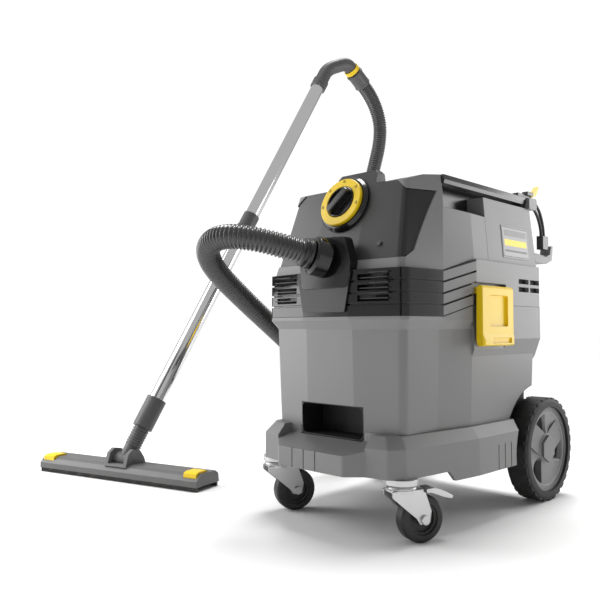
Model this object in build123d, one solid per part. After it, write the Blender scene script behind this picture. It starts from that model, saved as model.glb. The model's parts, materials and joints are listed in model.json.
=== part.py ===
from build123d import *
import os
from math import cos, pi, radians, sin, tan

# A wet-and-dry shop vacuum with its hose, suction tubes and floor nozzle.
# Millimetres. X runs to the machine's left hand side wheel, -Y is the front, +Z is up.
# Everything is modelled about the machine's middle on the floor and moved at the end,
# so that the row's origin is under the middle of all the pieces that aren't hose.

# --- driving dimensions -------------------------------------------------------------
GAP = 0.3                  # gap between surfaces of pieces that move past each other
RUNNING = 0.05             # radial clearance of a shaft in its bore

TUB_WALL = 4.0
TUB_FLOOR_Z = 112.0        # underside of the tub
NOSE_HALF = 149.0          # half width of the narrow front part of the tub
BODY_HALF = 160.0          # half width of the wide rear part
NOSE_FRONT_Y = -184.0
REAR_Y = 246.0
FACET_FRONT_Y = -78.0      # the nose widens to the body between these two places
FACET_REAR_Y = 8.0
CORNER_R = 14.0

SEAM_Z = 351.0             # joint between tub and head, at the nose
SEAM_RISE = 22.0           # how much higher that joint is along the body's sides
BAND_TOP_Z = 427.0         # top of the vent band at the nose
BAND_RISE = 24.0
BAND_OUT = 9.0             # the band stands this far outside the tub
GROOVES = 3
GROOVE_H = 3.0
GROOVE_DEEP = 3.5

HEAD_TOP_Z = 590.0
HEAD_WALL = 3.5
PANEL_INSET = 2.0          # the front panel lies this far inside the grey rim
COVER_SEAM_Y = 56.0        # front edge of the filter cover
COVER_TOP_Z = 566.0
COVER_HINGE_Y, COVER_HINGE_Z = 262.0, 462.0

CHASSIS_FRONT_Y = -232.0
CHASSIS_Z0, CHASSIS_Z1 = 84.0, 146.0
CHASSIS_FRONT_Z = 101.0    # underside ahead of the side skirts
SKIRT_TOP_Z = 164.0
LIP_HALF = 72.0
LIP_TOP_Z = 133.0

RECESS_HALF, RECESS_Z0, RECESS_Z1, RECESS_DEEP = 68.0, 151.0, 203.0, 62.0

WHEEL_D, WHEEL_W = 197.0, 46.0
WHEEL_Y, WHEEL_OUT_X = 249.0, 186.0
RIM_D = 162.0
SPOKES, SPOKE_W = 3, 46.0
AXLE_D = 16.0
ARCH_D = 246.0

CASTER_X, CASTER_Y, CASTER_H = 138.0, -170.0, 100.0
CASTER_D, CASTER_W, CASTER_TRAIL, CASTER_TURN = 75.0, 24.0, 32.0, 66.0
STEM_D = 12.0
POST_D = 36.0              # post of the chassis that each caster's stem turns in
AXLE_WEB = 20.0            # how far the axle's web goes on behind the axle

LATCH_Y0, LATCH_Y1 = 1.0, 109.0
LATCH_Z0, LATCH_Z1 = 301.0, 405.0
LATCH_IN_X, LATCH_OUT_X = 172.6, 184.0
LATCH_PIN_Z, LATCH_PIN_X, LATCH_PIN_D = 397.0, 166.0, 5.0

PORT_X, PORT_Z = 92.0, 470.0
DIAL_Z, DIAL_BOSS_D, DIAL_RING_D, DIAL_RING_IN, DIAL_KNOB_D = 546.0, 104.0, 88.0, 58.0, 56.0
DIAL_BOSS_H, DIAL_RING_H, DIAL_KNOB_H = 9.0, 6.0, 9.0

DECK_Z = BAND_TOP_Z + BAND_RISE + 0.5      # top of the head under the filter cover
FILTER_HALF, FILTER_Y0, FILTER_Y1, FILTER_H = 100.0, 78.0, 236.0, 52.0
BASE_Z = 380.0             # underside of the head's base plate
MOTOR_Y, MOTOR_D, FAN_D = -30.0, 116.0, 170.0
SHAFT_D = 8.0
BALL_D, CAGE_D = 50.0, 84.0

HOSE_D = 42.0
CUFF_D = 50.0
INLET_Z = 449.0
TUBE_D, TUBE_WALL = 36.0, 1.2
TUBE_L = 502.0
WAND_BOTTOM = Vector(-571, -143, 168)
WAND_DIR = Vector(41, 512, 863).normalized()

NOZZLE_W, NOZZLE_DEPTH, NOZZLE_Z0, NOZZLE_Z1 = 450.0, 78.0, 9.0, 34.0
NOZZLE_TURN = 16.2         # the nozzle stands turned this much about +Z
NOZZLE_PIVOT = WAND_BOTTOM - WAND_DIR * 150
BARREL_D = 34.0            # barrel of the nozzle's tilting joint


# --- helpers ------------------------------------------------------------------------
def outline(half):
    """Closed plan from the points of its +X half, front to rear."""
    return half + [(-x, y) for x, y in reversed(half)]


def face(points, radius=0.0):
    flat = make_face(Polyline(*points, close=True))
    return fillet(flat.vertices(), radius) if radius else flat


def plate(points, z0, z1, radius=0.0):
    """Flat plan shape between two heights."""
    return extrude(Pos(0, 0, z0) * face(points, radius), z1 - z0, dir=(0, 0, 1))


def across(points, x0, x1, radius=0.0):
    """Shape drawn in side view (y, z) between two places along X."""
    return extrude(Plane.YZ.offset(x0) * face(points, radius), x1 - x0, dir=(1, 0, 0))


def along(points, y0, y1, radius=0.0):
    """Shape drawn in front view (x, z) between two places along Y."""
    return extrude(Plane.XZ.offset(-y0) * face(points, radius), y1 - y0, dir=(0, 1, 0))


def block(x0, x1, y0, y1, z0, z1):
    return Pos((x0 + x1) / 2, (y0 + y1) / 2, (z0 + z1) / 2) * Box(x1 - x0, y1 - y0, z1 - z0)


def rod(diameter, start, end):
    """Round bar between two points."""
    start, end = Vector(start), Vector(end)
    plane = Plane(start, z_dir=end - start)
    return extrude(plane * Circle(diameter / 2), (end - start).length)


def ring(outer, inner, start, end):
    return rod(outer, start, end) - rod(inner, start, end)


def group(*pieces):
    """Separate solids that share one node."""
    return Compound(children=[solid for piece in pieces for solid in piece.solids()])


def both(shape):
    """The shape and its copy on the machine's other side, as one group."""
    return group(shape, mirror(shape, Plane.YZ))


def tub_plan(out=0.0):
    """Plan of the tub, its sides moved outwards."""
    return outline([
        (52, NOSE_FRONT_Y - out),
        (NOSE_HALF - 5 + out, NOSE_FRONT_Y + 16 - out),
        (NOSE_HALF + out, FACET_FRONT_Y),
        (BODY_HALF + out, FACET_REAR_Y),
        (BODY_HALF + out, REAR_Y + out),
    ])


def seam_profile(z0, z1, rise0, rise1):
    """Side view of a layer that steps up along the facets."""
    y0, y1, front, rear = FACET_FRONT_Y, FACET_REAR_Y, -400.0, 500.0
    return [(front, z0), (y0, z0), (y1, z0 + rise0), (rear, z0 + rise0),
            (rear, z1 + rise1), (y1, z1 + rise1), (y0, z1), (front, z1)]


def seam_layer(z0, z1, rise0, rise1):
    return across(seam_profile(z0, z1, rise0, rise1), -300, 300)


# --- tub and chassis ----------------------------------------------------------------
def wheel_arch(extra=0.0):
    inner = WHEEL_OUT_X - WHEEL_W - 5 - extra
    arch = rod(ARCH_D + 2 * extra, (inner, WHEEL_Y, WHEEL_D / 2), (260, WHEEL_Y, WHEEL_D / 2))
    return arch + mirror(arch, Plane.YZ)


def latch_seat(side):
    """Space in the tub's side that the latch's lower half lies in."""
    x0, x1 = sorted((side * (BODY_HALF + 3), side * 260))
    return block(x0, x1, LATCH_Y0 - 4, LATCH_Y1 + 4, LATCH_Z0 - 6, 500)


def tub_solid(out=0.0, floor=TUB_FLOOR_Z):
    """Outer form of the tub: tapered wall, flared rim and the bulges beside the latches."""
    wall = loft([
        Pos(0, 0, floor) * face(tub_plan(out - 6), CORNER_R),
        Pos(0, 0, 330) * face(tub_plan(out), CORNER_R),
    ])
    flare = loft([
        Pos(0, 0, 330) * face(tub_plan(out), CORNER_R),
        Pos(0, 0, 345) * face(tub_plan(out + BAND_OUT), CORNER_R),
    ])
    rim = plate(tub_plan(out + BAND_OUT), 345, 400, CORNER_R)
    top = SEAM_Z - GAP
    bulge = along([(150, 268), (BODY_HALF - 3 + out, 278), (BODY_HALF + BAND_OUT + out, 312),
                   (BODY_HALF + BAND_OUT + out, 400), (150, 400)], FACET_REAR_Y, REAR_Y + out)
    rear = across([(200, 225), (REAR_Y - 4 + out, 235), (REAR_Y + BAND_OUT + out, 300),
                   (REAR_Y + BAND_OUT + out, 400), (200, 400)], -BODY_HALF + 12, BODY_HALF - 12)
    whole = wall + flare + rim + bulge + mirror(bulge, Plane.YZ) + rear
    return whole & seam_layer(-100, top, SEAM_RISE, SEAM_RISE)


def make_tub():
    recess = block(-RECESS_HALF, RECESS_HALF, -260, NOSE_FRONT_Y + RECESS_DEEP, RECESS_Z0, RECESS_Z1)
    recess = fillet(recess.edges().filter_by(Axis.Y), 9)
    hood = block(-RECESS_HALF - TUB_WALL, RECESS_HALF + TUB_WALL, -260,
                 NOSE_FRONT_Y + RECESS_DEEP + TUB_WALL, 100, RECESS_Z1 + TUB_WALL)
    inside = loft([
        Pos(0, 0, TUB_FLOOR_Z + TUB_WALL) * face(tub_plan(-6 - TUB_WALL), CORNER_R - 4),
        Pos(0, 0, 330) * face(tub_plan(-TUB_WALL), CORNER_R - 4),
    ]) + plate(tub_plan(-TUB_WALL), 330, 400, CORNER_R - 4)
    inside = inside - hood - wheel_arch(TUB_WALL)
    tub = tub_solid() - inside - recess - wheel_arch()
    for side in (-1, 1):
        tub -= latch_seat(side)
    return tub


def chassis_plan(inset=0.0):
    return outline([
        (LIP_HALF - inset / 2, CHASSIS_FRONT_Y + inset),
        (97 - inset / 2, CHASSIS_FRONT_Y + 24 + inset),
        (137 - inset, -202 + inset),
        (155 - inset, -180 + inset / 2),
        (176 - inset, 0),
        (178 - inset, 126),
        (178 - inset, REAR_Y + 18 - inset),
    ])


def make_chassis():
    """Bumper, front step and wheel arches in one moulding, with a pocket for the tub."""
    skirt = plate(chassis_plan(), CHASSIS_Z0, CHASSIS_Z1, 8)
    slope = loft([
        Pos(0, 0, CHASSIS_Z1) * face(chassis_plan(), 8),
        Pos(0, 0, SKIRT_TOP_Z) * face(chassis_plan(15), 8),
    ])
    body = skirt + slope
    # the front step is lower than the skirt, and slopes down to its front edge
    step = across([(-300, LIP_TOP_Z - 4), (CHASSIS_FRONT_Y, LIP_TOP_Z), (NOSE_FRONT_Y + 8, RECESS_Z0),
                   (NOSE_FRONT_Y + 8, 300), (-300, 300)], -97, 97)
    body -= step
    # ahead of the side skirts the underside is higher
    body -= across([(-300, 0), (-78, 0), (-62, CHASSIS_Z0), (-78, CHASSIS_FRONT_Z),
                    (-300, CHASSIS_FRONT_Z)], -300, 300)
    hollow = plate(chassis_plan(6), 0, TUB_FLOOR_Z - 5, 4)
    hollow += plate(chassis_plan(6), 0, 126, 4) - plate(tub_plan(2), -1, 200, CORNER_R)
    pocket = loft([
        Pos(0, 0, TUB_FLOOR_Z) * face(tub_plan(-6 + GAP), CORNER_R),
        Pos(0, 0, 330) * face(tub_plan(GAP), CORNER_R),
    ])
    body -= hollow + pocket
    for side in (-1, 1):
        foot = Vector(side * CASTER_X, CASTER_Y, 0)
        post = rod(POST_D, foot + Vector(0, 0, CHASSIS_FRONT_Z), foot + Vector(0, 0, TUB_FLOOR_Z - 4))
        body += post
        body -= rod(STEM_D + 2 * RUNNING, foot + Vector(0, 0, 90), foot + Vector(0, 0, 111))
        # a web inside each wheel carries the axle
        web_x0, web_x1 = sorted((side * 112, side * 126))
        body += block(web_x0, web_x1, WHEEL_Y - 40, WHEEL_Y + AXLE_WEB, 86, TUB_FLOOR_Z - 4)
    body -= wheel_arch()
    body -= rod(AXLE_D, (-200, WHEEL_Y, WHEEL_D / 2), (200, WHEEL_Y, WHEEL_D / 2))
    for k in range(3):
        x = -40 + 26 * k
        body -= block(x, x + 2, CHASSIS_FRONT_Y - 5, CHASSIS_FRONT_Y + 3, 90, 160)
        for side in (-1, 1):
            body -= block(*sorted((side * 175.5, side * 190)), 62 + 22 * k, 65 + 22 * k, 80, 128)
    return body


# --- wheels -------------------------------------------------------------------------
def wheel_parts(side):
    """Tyre of one rear wheel, and its rim with three broad spokes and the hub cap."""
    z = WHEEL_D / 2
    outer, inner = side * WHEEL_OUT_X, side * (WHEEL_OUT_X - WHEEL_W)

    def disc(diameter, x0, x1):
        return rod(diameter, (x0, WHEEL_Y, z), (x1, WHEEL_Y, z))

    tyre = disc(WHEEL_D, inner, outer - side * 1)
    tyre = fillet(tyre.edges().filter_by(GeomType.CIRCLE), 9) - disc(RIM_D, inner - side, outer + side)
    rim = disc(RIM_D, inner, outer - side * 6) - disc(RIM_D - 14, outer - side * 24, outer)
    rim -= disc(RIM_D - 14, inner, inner + side * 14)
    rim += disc(60, inner, outer - side * 10)
    spoke_x0, spoke_x1 = sorted((outer - side * 25, outer - side * 9))
    spoke_y0, spoke_y1 = WHEEL_Y - SPOKE_W / 2, WHEEL_Y + SPOKE_W / 2
    for k in range(SPOKES):
        spoke = block(spoke_x0, spoke_x1, spoke_y0, spoke_y1, z + 20, z + RIM_D / 2 - 5)
        rim += spoke.rotate(Axis((0, WHEEL_Y, z), (1, 0, 0)), 60 + 360 / SPOKES * k)
    rim -= disc(AXLE_D + 2 * RUNNING, inner - side, outer)
    cap = extrude(Plane((outer - side * 10, WHEEL_Y, z), z_dir=(side, 0, 0)) * RegularPolygon(26, 6), 7)
    return tyre, group(rim, cap)


def make_axle():
    end = WHEEL_OUT_X - 11
    return rod(AXLE_D - 2 * RUNNING, (-end, WHEEL_Y, WHEEL_D / 2), (end, WHEEL_Y, WHEEL_D / 2))


def caster_frame(side):
    """The caster's own directions: its stem, its trail and its axle."""
    turn = radians(CASTER_TURN)
    trail = Vector(cos(turn), sin(turn), 0)
    axle = Vector(-sin(turn), cos(turn), 0)
    stem = Vector(side * CASTER_X, CASTER_Y, 0)
    return stem, trail, axle


def caster_parts(side):
    """Fork with its axle bolt, wheel with its tyre, and the plate that the stem turns in."""
    stem, trail, axle = caster_frame(side)
    hub = stem + trail * CASTER_TRAIL + Vector(0, 0, CASTER_D / 2)
    plane = Plane(stem, x_dir=trail, z_dir=(0, 0, 1))
    raceway = rod(46, stem + Vector(0, 0, 84), stem + Vector(0, 0, 91))
    raceway = chamfer(raceway.edges().filter_by(GeomType.CIRCLE), 2)
    cheek_face = face([(-24, 84), (24, 84), (34, 78), (44, 50), (41, 31), (24, 31), (18, 40), (-23, 74)], 3)
    fork = raceway + rod(40, stem + Vector(0, 0, 80), stem + Vector(0, 0, 84))
    for hand in (-1, 1):
        where = Plane(stem + axle * hand * (CASTER_W / 2 + 3), x_dir=trail, z_dir=-axle)
        fork += extrude(where * cheek_face, 1.5, both=True)
    crown = plane * Pos(5, 0, 82) * Box(50, CASTER_W + 8, 4)
    fork += crown
    fork -= rod(STEM_D, stem + Vector(0, 0, 70), stem + Vector(0, 0, 100))
    fork += rod(STEM_D, stem + Vector(0, 0, 80), stem + Vector(0, 0, CASTER_H + 9))
    fork -= rod(8.2, hub - axle * 30, hub + axle * 30)
    half = axle * (CASTER_W / 2 + 7)
    bolt = rod(8, hub - half, hub + half)
    for hand in (-1, 1):
        nut_at = hub + axle * hand * (CASTER_W / 2 + 4.6)
        bolt += rod(14, nut_at, nut_at + axle * hand * 4.4)
    tyre = rod(CASTER_D, hub - axle * CASTER_W / 2, hub + axle * CASTER_W / 2)
    tyre = fillet(tyre.edges().filter_by(GeomType.CIRCLE), 6)
    tyre -= rod(52, hub - axle * 20, hub + axle * 20)
    disc = rod(52, hub - axle * 9, hub + axle * 9) - rod(42, hub - axle * 10, hub - axle * 5)
    disc -= rod(42, hub + axle * 5, hub + axle * 10)
    disc += rod(20, hub - axle * (CASTER_W / 2), hub + axle * (CASTER_W / 2))
    disc -= rod(8 + 2 * RUNNING, hub - axle * 20, hub + axle * 20)
    plate_top = rod(52, stem + Vector(0, 0, 92), stem + Vector(0, 0, CHASSIS_FRONT_Z))
    plate_top -= rod(STEM_D + 2 * RUNNING, stem, stem + Vector(0, 0, 120))
    return group(fork, bolt), group(tyre, disc), plate_top


def brake_pedal(side):
    """Foot lever that pivots under the fork's crown and presses on the tyre."""
    stem, trail, axle = caster_frame(side)
    lever = face([(38, 82.5), (52, 84), (74, 76), (86, 69), (84, 65), (70, 68), (48, 76.5), (38, 77.5)])
    return extrude(Plane(stem, x_dir=trail, z_dir=-axle) * lever, 13, both=True)


# --- head ---------------------------------------------------------------------------
def band_plan(out=0.0):
    return tub_plan(BAND_OUT + out)


def make_vent_band():
    """Band round the head's foot, grooved at the front, with vents at the front and the sides."""
    outer = plate(band_plan(), 300, 500, CORNER_R)
    inner = plate(band_plan(-HEAD_WALL - 3), 300, 500, CORNER_R - 4)
    band = (outer - inner) & seam_layer(SEAM_Z, BAND_TOP_Z, SEAM_RISE, BAND_RISE)
    skin = plate(outline([(290, -300), (290, FACET_REAR_Y - 1)]), 300, 500)
    skin -= plate(band_plan(-GROOVE_DEEP), 300, 500, CORNER_R - 3)
    pitch = (BAND_TOP_Z - SEAM_Z) / (GROOVES + 1)
    for k in range(GROOVES):
        z = SEAM_Z + pitch * (k + 1) - GROOVE_H / 2
        band -= skin & seam_layer(z, z + GROOVE_H, SEAM_RISE, SEAM_RISE)
    for side in (-1, 1):
        band -= block(*sorted((side * 150, side * 260)), LATCH_Y0 - 2, LATCH_Y1 + 2, 300, LATCH_Z1 + 6)
        for row in range(2):
            for column in range(2):
                y, z = 160 + 46 * column, 400 + 15 * row
                band -= block(*sorted((side * 150, side * 260)), y, y + 40, z, z + 9)
    band += latch_wall(1) + latch_wall(-1)
    for x in (-128, 68):
        for row in range(3):
            z = SEAM_Z + 24 + 17 * row
            band -= block(x, x + 58, -260, -150, z, z + 10)
    return band


def latch_wall(side):
    """Wall behind the latch in the head, that closes the notch in the band."""
    x0, x1 = sorted((side * 155, side * 159))
    return block(x0, x1, LATCH_Y0 - 8, LATCH_Y1 + 8, SEAM_Z + SEAM_RISE + 1, BAND_TOP_Z + BAND_RISE - 4)


def head_plan_low():
    """Plan of the head where it stands on the band."""
    return outline([(52, -181), (144, -174), (157, -78), (167, 8), (167, 252)])


def head_plan_high():
    """Plan of the head at its top."""
    return outline([(46, -127), (121, -126), (150, -66), (153, 8), (153, 242)])


def head_form(inset=0.0):
    """Outer form of the head above the band, its sides leaning inwards."""
    def moved(points):
        return [(x - inset * (1 if x > 0 else -1), y + inset * (1 if y < 0 else -1)) for x, y in points]

    return loft([
        Pos(0, 0, BAND_TOP_Z) * face(moved(head_plan_low()), CORNER_R - 2),
        Pos(0, 0, HEAD_TOP_Z) * face(moved(head_plan_high()), CORNER_R - 2),
    ])


def head_roof():
    """Everything above the head's stepped and sloped top, in side view."""
    return across([(-300, 620), (-300, 577), (-128, 577), (-100, 586), (-70, 588), (-66, 534),
                   (COVER_SEAM_Y, 530), (COVER_SEAM_Y, 620)], -300, 300)


def fascia_region(back=0.0):
    """Side view of the front part that the dark panel takes up."""
    return across([(-300, 440), (-160 + back, 444), (-140 + back, 456), (-78 + back, 560), (-74 + back, 572),
                   (-96 + back, 600), (-300, 640)], -300, 300)


def panel_corners():
    """The panel's top corners, cut off at a slant."""
    cut = along([(104, 640), (104, 578), (112, 571), (124, 560), (300, 560), (300, 640)], -400, -40)
    return cut + mirror(cut, Plane.YZ)


def head_parts():
    """Light housing and the dark panel let into its front, with the hood behind the dial."""
    above = seam_layer(BAND_TOP_Z + 0.4, 700, BAND_RISE, 0)
    low = head_form() & above
    cover_zone = block(-300, 300, COVER_SEAM_Y, 400, DECK_Z, 700)
    shell = (low - cover_zone) - head_roof()
    core = head_form(HEAD_WALL) & (block(-300, 300, -400, COVER_SEAM_Y - HEAD_WALL, 0, 527)
                                   + block(-300, 300, 0, 400, 0, DECK_Z - 5))
    core += block(-FILTER_HALF, FILTER_HALF, FILTER_Y0, FILTER_Y1, 400, 500)
    front = fascia_region() - panel_corners()
    housing = shell - core - front
    space = head_form(PANEL_INSET + HEAD_WALL) & block(-300, 300, -400, 400, 0, 571)
    panel = ((head_form(PANEL_INSET) & above) - head_roof() - space) & front
    hood = across([(-132.5, 566), (-120.2, 603), (-104, 603), (-101, 588), (-101, 566)], -30, 58)
    hood = chamfer(hood.edges().filter_by(Axis.Y), 6)
    panel += hood - space
    port = Plane(panel_plane(PORT_Z) * Pos(PORT_X, 0, 0))
    panel -= extrude(port.offset(-2) * Circle(9), 10)
    panel += extrude(port.offset(-3) * Circle(4.5), 3)
    return housing, panel


def panel_plane(z):
    """Plane on the slanted panel at a height, its normal outwards."""
    lean = (181 - 127) / (HEAD_TOP_Z - BAND_TOP_Z)
    y = -181 + lean * (z - BAND_TOP_Z) + PANEL_INSET
    return Plane((0, y, z), x_dir=(1, 0, 0), z_dir=(0, -1, lean))


def make_head_base():
    """Plate that carries the motor, with openings for the air and the filter."""
    base = plate(band_plan(-HEAD_WALL - 3 - GAP), BASE_Z, BASE_Z + 5, CORNER_R - 4)
    base -= rod(40, (0, MOTOR_Y, 0), (0, MOTOR_Y, 500))
    base -= block(-90, 90, 90, 226, 300, 500)
    for side in (-1, 1):
        base -= block(*sorted((side * 154.9, side * 300)), LATCH_Y0 - 9, LATCH_Y1 + 9, 300, 500)
    return base


def make_seal():
    """Soft ring between the tub's rim and the head."""
    ring_plan = plate(tub_plan(2.2), 300, 500, CORNER_R) - plate(tub_plan(-3), 300, 500, CORNER_R - 4)
    seal = ring_plan & seam_layer(SEAM_Z - GAP + 0.1, SEAM_Z + 6, SEAM_RISE, SEAM_RISE)
    for side in (-1, 1):
        seal -= block(*sorted((side * 154.9, side * 300)), LATCH_Y0 - 9, LATCH_Y1 + 9, 300, 500)
    return seal


def float_parts():
    """Cage under the head, and the ball in it that shuts the air off when the tub is full."""
    centre = (0, MOTOR_Y)
    low, high = 304.0, BASE_Z
    cage = ring(CAGE_D, CAGE_D - 6, (*centre, low), (*centre, high))
    for k in range(4):
        window = block(-9, 9, 20, 60, low + 10, high - 14)
        cage -= (Pos(0, MOTOR_Y, 0) * window.rotate(Axis.Z, 45 + 90 * k))
    cage += ring(CAGE_D, 30, (*centre, low), (*centre, low + 3))
    ball = Pos(0, MOTOR_Y, low + 3.3 + BALL_D / 2) * Sphere(BALL_D / 2)
    return cage, ball


def motor_parts():
    """Fan case, motor can, bearings, and the shaft with its rotor and fan."""
    def tube(outer, inner, z0, z1):
        return ring(outer, inner, (0, MOTOR_Y, z0), (0, MOTOR_Y, z1))

    z0 = BASE_Z + 5
    fan_case = tube(FAN_D, FAN_D - 12, z0, z0 + 46) + tube(FAN_D - 2, 44, z0, z0 + 3)
    fan_case += tube(FAN_D - 2, 30, z0 + 43, z0 + 46)
    can_z = z0 + 46
    can = tube(MOTOR_D, MOTOR_D - 12, can_z, can_z + 84) + tube(MOTOR_D - 2, 22, can_z, can_z + 8)
    can += tube(MOTOR_D - 2, 22, can_z + 76, can_z + 84)
    for k in range(8):
        slot = block(MOTOR_D / 2 - 12, MOTOR_D / 2 + 5, -4, 4, can_z + 20, can_z + 62)
        can -= Pos(0, MOTOR_Y, 0) * slot.rotate(Axis.Z, 45 * k)
    bore = SHAFT_D + 2 * RUNNING
    bearings = tube(22, bore, can_z, can_z + 7) + tube(22, bore, can_z + 77, can_z + 84)
    shaft = rod(SHAFT_D, (0, MOTOR_Y, z0 + 8), (0, MOTOR_Y, can_z + 88))
    rotor = tube(62, SHAFT_D, can_z + 16, can_z + 68)
    fan = tube(130, SHAFT_D, z0 + 32, z0 + 34) + tube(130, 50, z0 + 10, z0 + 12)
    fan += tube(24, SHAFT_D, z0 + 12, z0 + 34)
    blade = block(26, 62, -1, 1, z0 + 11, z0 + 33).rotate(Axis((26, 0, 0), (0, 0, 1)), 35)
    for k in range(9):
        fan += Pos(0, MOTOR_Y, 0) * blade.rotate(Axis.Z, 40 * k)
    return fan_case, can, bearings, group(shaft + rotor, fan)


def make_board():
    """Circuit board behind the panel, on two posts of the base plate."""
    board = block(-60, 60, -118, -116.4, BASE_Z + 60, BASE_Z + 110)
    for x in (-50, 42):
        board += block(x, x + 8, -116.4, -111, BASE_Z + 5, BASE_Z + 105)
    return board


def make_gland():
    """Inlet for the mains cable in the head's rear wall."""
    z = BAND_TOP_Z + 4
    gland = ring(26, 9, (-60, REAR_Y + BAND_OUT, z), (-60, REAR_Y + BAND_OUT + 9, z))
    return gland + ring(18, 9, (-60, REAR_Y + BAND_OUT + 9, z), (-60, REAR_Y + BAND_OUT + 22, z))


def make_filter():
    """Flat pleated filter hanging in the deck by its frame."""
    half, y0, y1, top = FILTER_HALF, FILTER_Y0, FILTER_Y1, DECK_Z + 0.1
    frame = block(-half - 7, half + 7, y0 - 7, y1 + 7, top, DECK_Z + 6)
    body = block(-half + 1, half - 1, y0 + 1, y1 - 1, DECK_Z - FILTER_H, top)
    frame -= block(-half + 10, half - 10, y0 + 10, y1 - 10, DECK_Z, DECK_Z + 20)
    pitch = 9.5
    for k in range(int((2 * half - 12) / pitch)):
        x = -half + 8 + pitch * k
        body -= block(x, x + pitch / 2, y0 + 8, y1 - 8, DECK_Z - FILTER_H - 1, DECK_Z - 6)
    return frame, body


def latch_pin(diameter, extra):
    """Round bar on the latch's hinge line, longer than the latch at both ends by an extra."""
    return rod(diameter, (LATCH_PIN_X, LATCH_Y0 - extra, LATCH_PIN_Z),
               (LATCH_PIN_X, LATCH_Y1 + extra, LATCH_PIN_Z))


def make_latch(side):
    """Toggle latch hung on a pin in the band, its lip standing out at the bottom."""
    middle = (LATCH_IN_X + LATCH_OUT_X) / 2
    shape = [(LATCH_IN_X, LATCH_Z1 - 4), (LATCH_IN_X + 4, LATCH_Z1), (LATCH_OUT_X - 3, LATCH_Z1),
             (LATCH_OUT_X, LATCH_Z1 - 4), (LATCH_OUT_X, 322), (LATCH_OUT_X + 3, 312),
             (LATCH_OUT_X + 3, LATCH_Z0 + 2), (LATCH_OUT_X - 2, LATCH_Z0),
             (LATCH_IN_X + 2, LATCH_Z0), (LATCH_IN_X - 1, LATCH_Z0 + 8)]
    latch = along(shape, LATCH_Y0, LATCH_Y1)
    latch = fillet(latch.edges().filter_by(Axis.Z).sort_by(Axis.X)[-2:], 5)
    well = block(middle + 1, 300, LATCH_Y0 + 24, LATCH_Y1 - 20, 335, LATCH_Z1 - 16)
    latch -= fillet(well.edges().filter_by(Axis.X), 4)
    latch -= block(LATCH_OUT_X, 300, LATCH_Y0 + 30, LATCH_Y1 - 12, LATCH_Z0 + 5, LATCH_Z0 + 14)
    ear = latch_pin(11, -6)
    ear += block(LATCH_PIN_X, LATCH_IN_X + 1, LATCH_Y0 + 6, LATCH_Y1 - 6,
                 LATCH_PIN_Z - 5.5, LATCH_PIN_Z + 5.5)
    latch += ear - block(100, LATCH_IN_X, LATCH_Y0 + 20, LATCH_Y1 - 20, 380, 410)
    latch -= latch_pin(LATCH_PIN_D + 2 * RUNNING, 9)
    return latch if side > 0 else mirror(latch, Plane.YZ)


def make_latch_pins():
    return both(latch_pin(LATCH_PIN_D, 2))


def cover_parts():
    """Filter cover, the tray and side rails on it, and its hinge."""
    zone = block(-300, 300, COVER_SEAM_Y + 2 * GAP, 400, DECK_Z + GAP, COVER_TOP_Z)
    hollow = block(-300, 300, COVER_SEAM_Y + 2 * GAP + HEAD_WALL, 400, 0, COVER_TOP_Z - 4)
    cover = (head_form() & zone) - (head_form(HEAD_WALL) & hollow)
    y, z = COVER_HINGE_Y, COVER_HINGE_Z
    brackets, ears, pins = [], [], []
    for side in (-1, 1):
        x0, x1 = sorted((side * 70, side * 84))
        ear = block(x0, x1, 247, y, z - 5, z + 6) + rod(12, (x0, y, z), (x1, y, z))
        ears.append(ear - rod(6 + 2 * RUNNING, (side * 60, y, z), (side * 90, y, z)))
        x0, x1 = sorted((side * 84.3, side * 98))
        bracket = block(x0, x1, REAR_Y + BAND_OUT, y, 420, z)
        bracket += rod(12, (x0, y, z), (x1, y, z)) + block(x0, x1, y, y + 6, 430, z)
        brackets.append(bracket - rod(6, (side * 60, y, z), (side * 110, y, z)))
        pins.append(rod(6, (side * 68, y, z), (side * 98, y, z)))
    for ear in ears:
        cover += ear - head_form(HEAD_WALL)
    return cover, group(*brackets, *pins)


def tray_parts():
    """Tray on top of the cover with a carrying rail along each side."""
    tray = block(-124, 124, -64, COVER_SEAM_Y + 0.5, 536, 586)
    tray += block(-124, 124, COVER_SEAM_Y, 236, COVER_TOP_Z, 586)
    tray -= block(-118, 118, -58, COVER_SEAM_Y - 5, 530, 580)
    tray -= block(-108, 108, -40, 222, 581, 600)
    tray = fillet(tray.edges().filter_by(Axis.Z), 4)
    rail = along([(137, 574), (152, 574), (154, 580), (152, 589), (140, 589), (137, 585)], -66, 226)
    front = block(100, 150, -64, -48, 575, 587)
    rear = block(100, 150, 212, 226, 568, 586)
    tray += rail + front + rear + mirror(rail + front + rear, Plane.YZ)
    bracket = block(134, 160, 226, 258, 566, 588)
    bracket = fillet(bracket.edges().filter_by(Axis.X), 5)
    base = block(140, 152, 196, 250, 589, 595) + block(144, 156, 228, 252, 594, 601)
    hook = across([(232, 601), (248, 601), (262, 606), (276, 618), (282, 617), (272, 602), (262, 595),
                   (250, 592), (232, 596)], 146, 154, 1.5) - base
    return tray, bracket, base, hook


def make_label_plate():
    """Thin plate on the cover's sides."""
    zone = block(100, 300, 112, 214, 462, 522)
    return (head_form(-1.2) & zone) - head_form(-0.05)


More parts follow.
